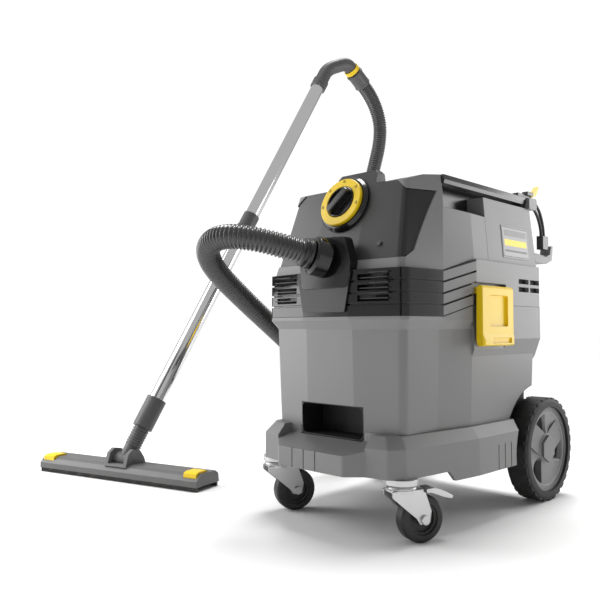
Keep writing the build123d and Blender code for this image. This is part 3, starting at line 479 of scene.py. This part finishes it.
def make_floor_dust():
    """Patches of dust, thicker towards the floor."""
    group, given, out = shader_group(
        "floor_dust",
        [("Reach", "NodeSocketFloat", 0.16), ("Patch size", "NodeSocketFloat", 38.0)],
        [("Dust", "NodeSocketFloat")])
    place = group.nodes.new("ShaderNodeTexCoord")
    split = group.nodes.new("ShaderNodeSeparateXYZ")
    group.links.new(place.outputs["Object"], split.inputs[0])
    low = shader_maths(group, "DIVIDE", split.outputs["Z"], given.outputs["Reach"])
    low = shader_maths(group, "SUBTRACT", 1.0, low, clamp=True)
    noise = group.nodes.new("ShaderNodeTexNoise")
    noise.inputs["Detail"].default_value = 5.0
    group.links.new(place.outputs["Object"], noise.inputs["Vector"])
    group.links.new(given.outputs["Patch size"], noise.inputs["Scale"])
    patch = shader_maths(group, "POWER", noise.outputs[0], 3.0)
    group.links.new(shader_maths(group, "MULTIPLY", low, patch), out.inputs["Dust"])
    return group


GRAIN = make_grain()
SOFT_EDGES = make_soft_edges()
FLOOR_DUST = make_floor_dust()
print("shader groups:", [g.name for g in (GRAIN, SOFT_EDGES, FLOOR_DUST)])

# %% [markdown]
# The machine is made of a few dozen finishes that differ only in tone, gloss and grain. One
# maker function builds them all: the tone is mixed towards a lighter one at the edges as a
# painted highlight, and towards dust near the floor, and the grain and the rounded edges both
# feed the normal.

# %% A maker for moulded finishes
def grey(level):
    """A neutral tone from its everyday 0 to 255 level."""
    return tone(level, level, level)


def tone(red, green, blue):
    """A colour from everyday 0 to 255 levels, as the linear values that a shader works in."""
    def linear(level):
        share = level / 255
        return share / 12.92 if share <= 0.04045 else ((share + 0.055) / 1.055) ** 2.4
    return (linear(red), linear(green), linear(blue), 1.0)


def blend_colour(tree, share, first, second):
    """Mixes two colours, each a plain value or a socket."""
    mix = tree.nodes.new("ShaderNodeMix")
    mix.data_type = "RGBA"
    wire(tree, (mix.inputs["Factor"], mix.inputs[6], mix.inputs[7]), (share, first, second))
    return mix.outputs[2]


def blend_value(tree, share, first, second):
    """Mixes two plain values, each a number or a socket."""
    mix = tree.nodes.new("ShaderNodeMix")
    wire(tree, (mix.inputs["Factor"], mix.inputs[2], mix.inputs[3]), (share, first, second))
    return mix.outputs[0]


def use_group(tree, group, **settings):
    node = tree.nodes.new("ShaderNodeGroup")
    node.node_tree = group
    for label, setting in settings.items():
        node.inputs[label.replace("_", " ")].default_value = setting
    return node


def finish(name, colour, roughness, metallic=0.0, grain=0.08, grain_size=900.0, edge=0.0012,
           edge_highlight=0.25, mottle=0.10, coat=0.0, dust=0.0, zones=()):
    """A moulded, painted or cast finish. Lengths are in metres, shares from 0 to 1.
    A zone is (maker of its mask, colour, roughness): a part of the surface in another finish, and some zones
    are painted shade."""
    material = bpy.data.materials.new(name)
    material.use_nodes = True
    tree = material.node_tree
    shader = tree.nodes["Principled BSDF"]
    shader.inputs["Metallic"].default_value = metallic
    shader.inputs["Coat Weight"].default_value = coat
    shader.inputs["Coat Roughness"].default_value = 0.06
    mould = use_group(tree, GRAIN, Size=grain_size)
    edges = use_group(tree, SOFT_EDGES, Radius=edge)
    darker = tuple(c * (1 - mottle) for c in colour[:3]) + (1.0,)
    # Painted highlight: a lighter copy of the tone, mixed in along every edge further down.
    edge_highlight_colour = tuple(c + (1 - c) * 0.35 for c in colour[:3]) + (1.0,)
    base = blend_colour(tree, mould.outputs["Tone"], darker, colour)
    spread = shader_maths(tree, "MULTIPLY", mould.outputs["Tone"], 0.12)
    matt = shader_maths(tree, "ADD", spread, roughness - 0.06)
    for mask_maker, zone_colour, zone_roughness in zones:
        mask = mask_maker(tree)
        base = blend_colour(tree, mask, base, zone_colour)
        matt = blend_value(tree, mask, matt, zone_roughness)
    edge_highlight_share = shader_maths(tree, "MULTIPLY", edges.outputs["Edge"], edge_highlight)
    base = blend_colour(tree, edge_highlight_share, base, edge_highlight_colour)
    if dust:
        settled = use_group(tree, FLOOR_DUST)
        share = shader_maths(tree, "MULTIPLY", settled.outputs["Dust"], dust)
        base = blend_colour(tree, share, base, tone(176, 172, 164))
    tree.links.new(base, shader.inputs["Base Color"])
    tree.links.new(matt, shader.inputs["Roughness"])
    bump = tree.nodes.new("ShaderNodeBump")
    bump.inputs["Strength"].default_value = grain
    bump.inputs["Distance"].default_value = 0.0004
    tree.links.new(mould.outputs["Height"], bump.inputs["Height"])
    tree.links.new(edges.outputs["Normal"], bump.inputs["Normal"])
    tree.links.new(bump.outputs["Normal"], shader.inputs["Normal"])
    return material


print("finish maker ready")

# %% [markdown]
# Some mouldings show two finishes without a joint between them: the band is black round the
# nose and grey along the sides. The insides of the pocket in the tub and of the wheel arches are
# painted near black as shade. Such a change is a mask, worked out from where a point lies on the
# piece, so it needs no extra geometry.

# %% Masks for parts of a moulding
def place_and_facing(tree):
    """The x, y and z of a point on the piece, and of the way that it faces."""
    source = tree.nodes.new("ShaderNodeTexCoord")
    found = []
    for output in ("Object", "Normal"):
        split = tree.nodes.new("ShaderNodeSeparateXYZ")
        tree.links.new(source.outputs[output], split.inputs[0])
        found.append(tuple(split.outputs))
    return found


def beyond(tree, value, limit, softness=0.0002):
    """1 where a value is above a limit, and 0 below it."""
    start = shader_maths(tree, "SUBTRACT", value, limit)
    return shader_maths(tree, "MULTIPLY", start, 1 / softness, clamp=True)


def inverse(tree, mask):
    return shader_maths(tree, "SUBTRACT", 1.0, mask)


def all_of(tree, *masks):
    whole = masks[0]
    for mask in masks[1:]:
        whole = shader_maths(tree, "MULTIPLY", whole, mask)
    return whole


def aside(tree, x):
    """Distance of a point from the machine's middle plane."""
    return shader_maths(tree, "ABSOLUTE", shader_maths(tree, "SUBTRACT", x, MIDDLE.x), 0.0)


BAND_LOW, BAND_HIGH = 0.351, 0.427
GROOVE_PITCH = (BAND_HIGH - BAND_LOW) / 4
FACET_FRONT, FACET_REAR = MIDDLE.y - 0.078, MIDDLE.y + 0.008


def band_grey_zone(tree):
    """The band's grey sides: behind the nose, and outside the dark grooves."""
    (x, y, z), _ = place_and_facing(tree)
    behind = beyond(tree, y, FACET_FRONT)
    climb = shader_maths(tree, "DIVIDE", shader_maths(tree, "SUBTRACT", y, FACET_FRONT),
                         FACET_REAR - FACET_FRONT, clamp=True)
    level = shader_maths(tree, "SUBTRACT", z, shader_maths(tree, "MULTIPLY", climb, 0.022))
    count = shader_maths(tree, "DIVIDE", shader_maths(tree, "SUBTRACT", level, BAND_LOW), GROOVE_PITCH)
    off_groove = beyond(tree, shader_maths(tree, "PINGPONG", count, 0.5), 0.085, 0.01)
    plain_side = beyond(tree, y, FACET_REAR)
    shown = shader_maths(tree, "MAXIMUM", off_groove, plain_side)
    return all_of(tree, behind, shown)


def panel_side_zone(tree):
    """The panel's two glossy side facets."""
    _, facing = place_and_facing(tree)
    return beyond(tree, shader_maths(tree, "ABSOLUTE", facing[0], 0.0), 0.55, 0.05)


def tub_pocket_painted_shade(tree):
    """Painted shade: the inside of the pocket in the tub's front, coloured near black."""
    (x, y, z), _ = place_and_facing(tree)
    return all_of(tree, beyond(tree, y, MIDDLE.y - 0.1826), beyond(tree, MIDDLE.y - 0.117, y),
                  beyond(tree, 0.0695, aside(tree, x)), beyond(tree, z, 0.149), beyond(tree, 0.2045, z))


def wheel_arch_painted_shade(tree):
    """Painted shade: the inside of the wheel arches, coloured near black."""
    (x, y, z), _ = place_and_facing(tree)
    dy = shader_maths(tree, "SUBTRACT", y, axle_middle.y)
    dz = shader_maths(tree, "SUBTRACT", z, axle_middle.z)
    squares = [shader_maths(tree, "MULTIPLY", d, d) for d in (dy, dz)]
    reach = shader_maths(tree, "SQRT", shader_maths(tree, "ADD", *squares), 0.0)
    return all_of(tree, beyond(tree, 0.1240, reach), beyond(tree, aside(tree, x), 0.128))


def label_stripe(low, high):
    """A maker of a mask for a printed stripe between two heights on the label."""
    def stripe(tree):
        (x, y, z), _ = place_and_facing(tree)
        return all_of(tree, beyond(tree, z, low), beyond(tree, high, z),
                      beyond(tree, y, MIDDLE.y + 0.120), beyond(tree, MIDDLE.y + 0.206, y))
    return stripe


def label_edge_zone(tree):
    """The thin dark line printed round the label."""
    (x, y, z), _ = place_and_facing(tree)
    inner = all_of(tree, beyond(tree, z, 0.4655), beyond(tree, 0.5190, z),
                   beyond(tree, y, MIDDLE.y + 0.1150), beyond(tree, MIDDLE.y + 0.2110, y))
    outer = all_of(tree, beyond(tree, z, 0.4638), beyond(tree, 0.5207, z),
                   beyond(tree, y, MIDDLE.y + 0.1133), beyond(tree, MIDDLE.y + 0.2127, y))
    return shader_maths(tree, "MULTIPLY", outer, inverse(tree, inner))


print("masks ready")

# %% [markdown]
# Now the finishes themselves, named for what they cover. The body is a mid grey moulding with
# a satin grain, the band and the tyres are black, the handles and latches are yellow, and the
# tubes are bright metal. A metal needs little texture: its look is what it reflects.

# %% The finishes
BODY_TONE = grey(126)
GLOSS_BLACK = grey(20)
# The pocket and arch zones are painted shade: their insides are coloured near black.
body_grey = finish("body_grey", BODY_TONE, 0.42, dust=0.25,
                   zones=[(tub_pocket_painted_shade, grey(16), 0.6), (wheel_arch_painted_shade, grey(16), 0.6)])
band_black = finish("band_black", GLOSS_BLACK, 0.16, grain=0.02, edge_highlight=0.06,
                    zones=[(band_grey_zone, BODY_TONE, 0.42)])
panel_dark = finish("panel_dark", grey(48), 0.40, grain=0.06, edge_highlight=0.10,
                    zones=[(panel_side_zone, GLOSS_BLACK, 0.22)])
accent_yellow = finish("accent_yellow", tone(246, 208, 0), 0.36, grain=0.04, edge_highlight=0.20)
knob_black = finish("knob_black", grey(24), 0.28, grain=0.03, edge_highlight=0.20)
label_silver = finish("label_silver", grey(176), 0.45, grain=0.02, zones=[
    (label_stripe(0.4850, 0.4970), tone(255, 226, 0), 0.4),
    (label_stripe(0.5030, 0.5150), grey(120), 0.4), (label_stripe(0.4735, 0.4775), grey(70), 0.4),
    (label_edge_zone, grey(40), 0.4)])
tyre_black = finish("tyre_black", grey(18), 0.62, grain=0.25, grain_size=1400.0, edge_highlight=0.10, dust=0.15)
rim_grey = finish("rim_grey", grey(112), 0.40, dust=0.1)
caster_black = finish("caster_black", grey(18), 0.45, grain=0.10, dust=0.15)
zinc = finish("zinc", grey(206), 0.30, metallic=0.85, grain=0.05, grain_size=260.0, mottle=0.18)
steel = finish("steel", grey(190), 0.30, metallic=1.0, grain=0.05)
chrome = finish("chrome", grey(226), 0.10, metallic=1.0, grain=0.01, mottle=0.05)
handle_grey = finish("handle_grey", grey(84), 0.45)
nozzle_grey = finish("nozzle_grey", grey(92), 0.42, dust=0.15)
bristle_black = finish("bristle_black", grey(20), 0.60, dust=0.4)
hose_black = finish("hose_black", grey(60), 0.30, grain=0.04, edge=0.0006, edge_highlight=0.30, coat=0.25)
strap_black = finish("strap_black", grey(22), 0.50)
seal_rubber = finish("seal_rubber", grey(30), 0.70)
motor_steel = finish("motor_steel", grey(170), 0.40, metallic=0.9)
fan_aluminium = finish("fan_aluminium", grey(200), 0.30, metallic=1.0)
filter_paper = finish("filter_paper", tone(222, 214, 190), 0.85, grain=0.4)
filter_frame = finish("filter_frame", grey(58), 0.55)
board_green = finish("board_green", tone(38, 92, 52), 0.50)
float_white = finish("float_white", grey(225), 0.45)
shadow_gap = finish("shadow_gap", grey(10), 0.70, edge_highlight=0.0)
SLOT_FINISHES = {
    "grey_plastic": body_grey, "black_gloss": band_black, "panel_dark": panel_dark,
    "yellow": accent_yellow, "knob_black": knob_black, "label": label_silver,
    "tyre": tyre_black, "rim_grey": rim_grey, "caster_black": caster_black, "zinc": zinc,
    "steel": steel, "chrome": chrome, "handle_grey": handle_grey, "nozzle_grey": nozzle_grey,
    "bristle_black": bristle_black, "hose_black": hose_black, "strap_black": strap_black,
    "seal_rubber": seal_rubber, "motor_steel": motor_steel, "fan_aluminium": fan_aluminium,
    "filter_paper": filter_paper, "filter_frame": filter_frame, "board": board_green,
    "float_white": float_white,
}
slot_of = {}
for part in frame["record"]["subparts"]:
    slot_of[part["node"]] = part["material_slot"]
for node, obj in nodes.items():
    obj.data.materials.clear()
    obj.data.materials.append(SLOT_FINISHES[slot_of[node]])
print("finishes made:", len(bpy.data.materials))

# %% [markdown]
# A product studio is a white sweep with large soft lights. The camera sees pure white behind the
# set, while the machine itself is lit by a dimmer room, so that its sides keep their shape. A
# high soft sun whitens the floor and draws the shadow, a panel behind on the right rakes along
# the side, a panel on the left lights the front, and black cards give chrome something dark.

# %% Studio
FLOOR_HALF = 30.0
ROOM_LIGHT, MIRRORED_LIGHT, SEEN_WHITE = 0.25, 0.55, 1.06
floor_mesh = bpy.data.meshes.new("studio_floor")
floor_mesh.from_pydata(
    [(-FLOOR_HALF, -FLOOR_HALF, 0), (FLOOR_HALF, -FLOOR_HALF, 0),
     (FLOOR_HALF, FLOOR_HALF, 0), (-FLOOR_HALF, FLOOR_HALF, 0)], [], [(0, 1, 2, 3)])
floor_white = bpy.data.materials.new("floor_white")
floor_white.use_nodes = True
floor_white.node_tree.nodes["Principled BSDF"].inputs["Base Color"].default_value = grey(245)
floor_white.node_tree.nodes["Principled BSDF"].inputs["Roughness"].default_value = 0.9
floor_white.node_tree.nodes["Principled BSDF"].inputs["Specular IOR Level"].default_value = 0.0
floor_mesh.materials.append(floor_white)
floor = new_object("studio_floor", floor_mesh)

world = bpy.data.worlds.new("studio_world")
world.use_nodes = True
world_tree = world.node_tree
ray = world_tree.nodes.new("ShaderNodeLightPath")
strength = blend_value(world_tree, ray.outputs["Is Glossy Ray"], ROOM_LIGHT, MIRRORED_LIGHT)
strength = blend_value(world_tree, ray.outputs["Is Camera Ray"], strength, SEEN_WHITE)
world_tree.nodes["Background"].inputs["Color"].default_value = (1.0, 1.0, 1.0, 1.0)
world_tree.links.new(strength, world_tree.nodes["Background"].inputs["Strength"])
bpy.context.scene.world = world
bpy.context.scene.view_settings.view_transform = "Standard"


def lamp(name, kind, place, target, power, size=0.0):
    data = bpy.data.lights.new(name, kind)
    data.energy = power
    if kind == "AREA":
        data.shape = "RECTANGLE"
        data.size, data.size_y = size, size * 1.4
    else:
        data.angle = size
    light = new_object(name, data)
    light.location = place
    light.rotation_euler = (Vector(target) - Vector(place)).to_track_quat("-Z", "Y").to_euler()
    light.visible_camera = False
    return light


def flag(name, place, width, height, turn):
    """A black card that only reflections see."""
    mesh = bpy.data.meshes.new(name)
    w, h = width / 2, height
    mesh.from_pydata([(-w, 0, 0), (w, 0, 0), (w, 0, h), (-w, 0, h)], [], [(0, 1, 2, 3)])
    card = new_object(name, mesh)
    black = bpy.data.materials.new(name)
    black.use_nodes = True
    black.node_tree.nodes["Principled BSDF"].inputs["Base Color"].default_value = grey(8)
    black.node_tree.nodes["Principled BSDF"].inputs["Roughness"].default_value = 1.0
    mesh.materials.append(black)
    card.location = place
    card.rotation_euler = (0, 0, turn)
    card.visible_camera = False
    card.visible_diffuse = False
    card.visible_shadow = False
    return card


SET_MIDDLE = at(0, 0, 350)
lamp("soft_sun", "SUN", SET_MIDDLE + Vector((-0.5, 0.9, 3.2)), SET_MIDDLE, 2.85, math.radians(30))
lamp("rear_panel", "AREA", at(560, 900, 560), at(160, 150, 350), 4.2, 0.5)
lamp("front_panel", "AREA", at(-1300, -900, 800), at(0, -150, 300), 20.0, 1.0)
flag("flag_left", SET_MIDDLE + Vector((-1.9, -1.5, -0.3)), 1.2, 2.4, math.radians(-48))
flag("flag_front", SET_MIDDLE + Vector((0.55, -2.3, -0.3)), 0.9, 2.4, math.radians(8))
print("studio lit")

# %% [markdown]
# The suction hose is a thin plastic spiral: rings stand proud of it, a few millimetres apart,
# so it bends without kinking. It could be one ring instanced along the line, but then
# neighbouring rings would be separate bodies. Here the centreline is resampled several times
# per ring, each sample gets its own radius, and one tube is swept over them all.

# %% Corrugated hose
HOSE_D = 0.042
RING_PITCH = 0.0068
SAMPLES_PER_RING = 5
RING_DEPTH = 0.0030


def make_hose_tree():
    tree = Tree("corrugated_hose")
    route, pitch = tree.value("Route", "Object"), tree.value("Ring pitch", "Float")
    diameter, depth = tree.value("Diameter", "Float"), tree.value("Ring depth", "Float")
    line = tree.node("GeometryNodeObjectInfo", {"transform_space": "RELATIVE"}, [("Object", route)])
    step = tree.maths("DIVIDE", pitch, float(SAMPLES_PER_RING))
    evenly = tree.node("GeometryNodeResampleCurve", {"mode": "LENGTH"},
                       [("Curve", line.outputs["Geometry"]), ("Length", step)]).outputs[0]
    number = tree.node("GeometryNodeInputIndex").outputs[0]
    turn = tree.maths("MULTIPLY", number, 2 * math.pi / SAMPLES_PER_RING)
    wave = tree.maths("SUBTRACT", 1.0, tree.maths("COSINE", turn))
    dip = tree.maths("MULTIPLY", tree.maths("MULTIPLY", wave, 0.5), depth)
    radius = tree.maths("SUBTRACT", tree.maths("MULTIPLY", diameter, 0.5), dip)
    profile = tree.node("GeometryNodeCurvePrimitiveCircle", None, [("Resolution", 20), ("Radius", 1.0)])
    sweep = tree.node("GeometryNodeCurveToMesh", None,
                      [("Curve", evenly), ("Profile Curve", profile.outputs[0]), ("Scale", radius),
                       ("Fill Caps", True)])
    return tree.end(sweep.outputs[0])


hose = make_hose_tree().run("suction_hose_rings", {
    "Route": route_curve, "Ring pitch": RING_PITCH, "Diameter": HOSE_D, "Ring depth": RING_DEPTH,
    "Finish": hose_black})
bpy.data.objects.remove(route_curve)
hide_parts("suction_hose")
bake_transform(hose)

# %% [markdown]
# Each end of the hose sits in a rubber cuff that a hand can grip. A cuff is a plain turned
# piece: a rounded lip towards the hose, a slim waist and a collar towards the machine. It is
# spun on the hose's own direction, so it lines up with the cord without any rotation.

# %% Hose cuffs
def make_cuff(name, start, way, length, radius, material):
    """A turned cuff from a start, along a way, with a lip where the hose enters. Millimetres."""
    lip, inner = radius, 17.0
    loop = [(inner, 0.4), (lip - 2.0, 0.4), (lip, 2.4), (lip, 7.0), (lip - 1.8, 9.0),
            (lip - 1.8, length - 8.0), (lip - 0.4, length - 6.5), (lip - 0.4, length - 2.6),
            (lip - 2.4, length - 0.4), (inner, length - 0.4)]
    profile = [(r / 1000, h / 1000) for r, h in loop]
    return turned(name, profile, at(*start), way, material, steps=56)


cuff_machine = make_cuff("cuff_at_inlet", INLET_POINT + INLET_WAY * 22, INLET_WAY, 18.6, 24.6, knob_black)
fitted(cuff_machine, "head", "hose_black", "hose_cuff_machine")
cuff_handle = make_cuff("cuff_at_handle", HANDLE_END, HANDLE_WAY, 50.0, 24.6, handle_grey)
fitted(cuff_handle, "container", "hose_black", "hose_cuff_handle")
print("cuffs made")

# %% [markdown]
# The rear wheels are what the eye checks first on a trolley. The tyre has blocks along both
# shoulders that break its outline, and a groove between them. One block is drawn at the top of
# the wheel and copied round the axle, which keeps the mesh light. Both rows are turned by half
# a step from each other, as on a real moulded tread.

# %% Tread of the rear wheels
WHEEL_D, TREAD_BLOCKS = 0.197, 30
AXLE_WAY = Vector((1, 0, 0))


def tread_row(name, x, width, phase):
    """A ring of tread blocks round the axle at this place along it."""
    top = WHEEL_D / 2 - 0.0075
    arm = Vector((0, -math.sin(phase), math.cos(phase))) * top
    side = AXLE_WAY.cross(arm.normalized())
    outline = [(-0.0072, 0.0), (0.0072, 0.0), (0.0056, 0.0076), (-0.0056, 0.0076)]
    block = bar(name + "_block", outline, AXLE_WAY * (width / 2), side, arm.normalized(), width,
                tyre_black, ease=0)
    return round_circle(name, block, TREAD_BLOCKS, Vector((x, axle_middle.y, axle_middle.z)),
                        AXLE_WAY, arm, tyre_black)


for side_name, way in (("left", -1), ("right", 1)):
    rows = []
    for k, (inset, phase) in enumerate(((0.0105, 0.0), (0.0325, math.pi / TREAD_BLOCKS))):
        x = MIDDLE.x + way * (0.186 - inset - 0.001)
        rows.append(tread_row(f"tread_{side_name}_{k}", x, 0.0165, phase))
    fitted(joined(f"tread_{side_name}", rows), f"wheel_{side_name}", "tyre")
print("tread blocks:", 4 * TREAD_BLOCKS)

# %% [markdown]
# A moulded rim is easiest as a height field: the face of the wheel is a grid in polar steps,
# and the depth at each point says whether it is flange, arm or opening. Three arms, a raised
# hub and three kidney-shaped openings come out of one formula, with soft slopes between them,
# where separate solids would need a fillet for every joint.

# %% Rim faces
RIM_R, BORE_R = 0.0755, 0.0115
FACE_DEPTH = 0.0155


def rim_height(radius, angle):
    """Height of the rim's face above its floor, from 0 to 1."""
    hub = 1 - max(0.0, min(1.0, (radius - 0.0285) / 0.006))
    flange = max(0.0, min(1.0, (radius - 0.0640) / 0.0035))
    arm_at = min(abs((angle - math.radians(60 + 120 * k) + math.pi) % (2 * math.pi) - math.pi)
                 for k in range(3))
    arm_half = math.radians(27) + math.radians(9) * max(0.0, (radius - 0.045) / 0.03)
    arm = 1 - max(0.0, min(1.0, (arm_at - arm_half) / math.radians(7)))
    crown = 0.80 - 0.20 * math.sin(math.pi * min(1.0, max(0.0, (radius - 0.0285) / 0.037)))
    return max(hub * 0.92, flange * 0.95, arm * crown)


def make_rim_face(name, way, material):
    builder = bmesh.new()
    steps, rings = 144, 30
    base_x = MIDDLE.x + way * (0.186 - 0.0065 - FACE_DEPTH)
    grid = []
    for j in range(rings + 1):
        radius = BORE_R + (RIM_R - BORE_R) * j / rings
        row = []
        for k in range(steps):
            angle = 2 * math.pi * k / steps
            x = base_x + way * FACE_DEPTH * rim_height(radius, angle)
            place = (x, axle_middle.y + radius * math.cos(angle), axle_middle.z + radius * math.sin(angle))
            row.append(builder.verts.new(place))
        grid.append(row)
    back = [[builder.verts.new((base_x - way * 0.0012, v.co.y, v.co.z)) for v in grid[j]] for j in (0, rings)]
    rows = [back[0], *grid, back[1]]
    for inner, outer in zip(rows, rows[1:] + rows[:1]):
        for k in range(steps):
            i = (k + 1) % steps
            builder.faces.new([inner[k], outer[k], outer[i], inner[i]])
    return mesh_object(name, builder, material, smooth_angle=50)


def rim_opening_painted_shade(tree):
    """Painted shade: the floor of the openings between a rim's arms, coloured near black as the shade of a
    hole.
    """
    (x, y, z), _ = place_and_facing(tree)
    return beyond(tree, 0.1700, aside(tree, x), 0.002)


# The openings are shallow floors, and the shade of a hole is painted on them.
rim_face_grey = finish("rim_face_grey", grey(120), 0.38, dust=0.15,
                       zones=[(rim_opening_painted_shade, grey(14), 0.6)])
for side_name, way in (("left", -1), ("right", 1)):
    fitted(make_rim_face(f"rim_face_{side_name}", way, rim_face_grey), f"wheel_{side_name}", "rim_grey")
    hub_end = Vector((MIDDLE.x + way * 0.1795, axle_middle.y, axle_middle.z))
    dot = turned(f"hub_dot_{side_name}", [(0.0, 0.0), (0.0045, 0.0), (0.0045, 0.0008), (0.0, 0.0022)],
                 hub_end, (way, 0, 0), knob_black, steps=24)
    fitted(dot, f"wheel_{side_name}", "rim_grey")
print("rim faces made")

# %% [markdown]
# The vents in the band are rows of slats with dark air behind them. A dark card stands a little
# behind each opening and sloping slats cross it, so that nothing inside the head shows through.

# %% Slats behind the vents
SLATS, SLAT_PITCH = 6, 0.0083
slat_sets = []
for vent_x in (-128, 68):
    slat = box_bar("slat", (-0.030, -0.0035, -0.0009), (0.030, 0.0035, 0.0009), knob_black, ease=0)
    lowest_slat = at(vent_x + 29, -183.5, 379.6)
    slat_sets.append(in_row("vent_slats", slat, SLATS, lowest_slat, (0, 0, SLAT_PITCH), knob_black))
    slat_sets.append(box_bar("vent_card", at(vent_x - 3, -178.6, 371), at(vent_x + 61, -177.4, 424),
                             shadow_gap, ease=0))
fitted(joined("front_vents", slat_sets), "head", "knob_black")
for name, way in (("left", -1), ("right", 1)):
    x0, x1 = sorted((way * 158.5, way * 160.5))
    fitted(box_bar("side_vents_" + name, at(x0, 157, 394), at(x1, 250, 428), shadow_gap, ease=0),
           "head", "knob_black")
print("vents backed")

# %% [markdown]
# The dial tells which hose diameter is fitted. Its scale is a row of short raised ticks with
# longer ones between, copied round the dial's own axis, and a few plain numbers. Text in
# Blender is a curve, so it is turned into a mesh before it is placed on the slanted ring.

# %% Dial scale, numbers and knob rim
ring_low, ring_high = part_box("hose_size_ring")
dial_middle = (ring_low + ring_high) / 2
PANEL_LEAN = (181 - 127) / (590 - 427)
DIAL_WAY = Vector((0, -1, PANEL_LEAN)).normalized()
DIAL_UP = (Vector((0, 0, 1)) - DIAL_WAY * DIAL_WAY.z).normalized()
dial_face = dial_middle + DIAL_WAY * 0.0031


def dial_tick(name, length, width, radius, count, phase):
    arm = (DIAL_UP * math.cos(phase) + DIAL_WAY.cross(DIAL_UP) * math.sin(phase)) * radius
    outward = arm.normalized()
    w, h = width / 2, length / 2
    outline = [(-w, -h), (w, -h), (w, h), (-w, h)]
    mark = bar(name, outline, DIAL_WAY * -0.0003, outward.cross(DIAL_WAY), outward, -0.0006,
               knob_black, ease=0)
    return round_circle(name + "s", mark, count, dial_face, DIAL_WAY, arm, knob_black)


def dial_number(text, phase, radius, size, material):
    curve = bpy.data.curves.new("number", "FONT")
    curve.body, curve.size, curve.extrude = text, size, 0.0004
    curve.align_x, curve.align_y = "CENTER", "CENTER"
    holder = new_object("number", curve)
    mesh = bpy.data.meshes.new_from_object(holder.evaluated_get(bpy.context.evaluated_depsgraph_get()))
    bpy.data.objects.remove(holder)
    outward = (DIAL_UP * math.cos(phase) + DIAL_WAY.cross(DIAL_UP) * math.sin(phase)).normalized()
    across = outward.cross(DIAL_WAY).normalized()
    place = Matrix((across, outward, DIAL_WAY)).transposed().to_4x4()
    place.translation = dial_face + outward * radius + DIAL_WAY * 0.0001
    mesh.transform(place)
    mesh.materials.clear()
    mesh.materials.append(material)
    return new_object("number_" + text, mesh)


scale = [dial_tick("long_tick", 0.0050, 0.0012, 0.0335, 12, 0.13),
         dial_tick("short_tick", 0.0028, 0.0008, 0.0345, 36, 0.0)]
for k, text in enumerate(("20", "25", "32", "35", "40")):
    scale.append(dial_number(text, math.radians(100 - 50 * k), 0.0385, 0.0062, knob_black))
fitted(joined("dial_scale", scale), "size_ring", "knob_black")
rim_profile = [(0.0262, -0.0012), (0.0282, -0.0012), (0.0282, 0.0036), (0.0272, 0.0044), (0.0262, 0.0036)]
knob_rim = turned("knob_rim", rim_profile, dial_middle, DIAL_WAY, band_black, steps=72)
fitted(knob_rim, "knob", "knob_black")
print("dial marked")

# %% [markdown]
# The floor nozzle stands on two strips of bristles. A bristle is a thin prism, and a row of
# tufts leans a little at random from a fixed seed, which breaks the hard edge that a solid
# strip would show along the floor. The strips themselves stay, as the backing of the tufts.

# %% Bristles along the nozzle
NOZZLE_TURN = math.radians(16.2)
along_nozzle = Vector((math.cos(NOZZLE_TURN), math.sin(NOZZLE_TURN), 0))
ahead = Vector((math.sin(NOZZLE_TURN), -math.cos(NOZZLE_TURN), 0))
strip_low, strip_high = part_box("nozzle_strips")
nozzle_centre = (strip_low + strip_high) / 2
TUFTS, TUFT_PITCH, TUFT_LEAN = 148, 0.003, 0.06
tuft_rows = []
for k, offset in enumerate((0.0372, -0.0372)):
    tuft = box_bar("tuft", (-0.0011, -0.0009, 0.0004), (0.0011, 0.0009, 0.0092), bristle_black, ease=0)
    start = Vector((nozzle_centre.x, nozzle_centre.y, 0)) + ahead * offset - along_nozzle * 0.2215
    tuft_rows.append(in_row(f"tufts_{k}", tuft, TUFTS, start, along_nozzle * TUFT_PITCH,
                            bristle_black, TUFT_LEAN, seed=4 + k))
fitted(joined("bristle_tufts", tuft_rows), "nozzle", "bristle_black")
print("tufts:", 2 * TUFTS)

# %% [markdown]
# Small repeated hardware gives scale. The raceways of the casters are polished rings, and the
# neck of the nozzle has moulded ribs that let a hand turn it. Both are turned on the axis of the
# piece they sit on. The grip rings of the handle are not made here.

# %% Raceways and ribs
for name, way in (("left", -1), ("right", 1)):
    stem = at(way * 138, -170, 0)
    race = [(0.0205, 0.0846), (0.0236, 0.0852), (0.0242, 0.0868), (0.0236, 0.0884), (0.0205, 0.0890)]
    fitted(turned(f"caster_race_{name}", race, stem, (0, 0, 1), zinc, steps=56), f"caster_{name}", "zinc")
WAND_FOOT = Vector((-571, -143, 168))
WAND_WAY = Vector((41, 512, 863)).normalized()
ribs = []
for k in range(7):
    centre = WAND_FOOT - WAND_WAY * (114 - 6.0 * k)
    profile = [(0.0168, -0.0018), (0.0188, -0.0012), (0.0188, 0.0012), (0.0168, 0.0018)]
    ribs.append(turned("neck_rib", profile, at(*centre), WAND_WAY, nozzle_grey, steps=48))
fitted(joined("neck_ribs", ribs), "neck", "nozzle_grey")
print("hardware made")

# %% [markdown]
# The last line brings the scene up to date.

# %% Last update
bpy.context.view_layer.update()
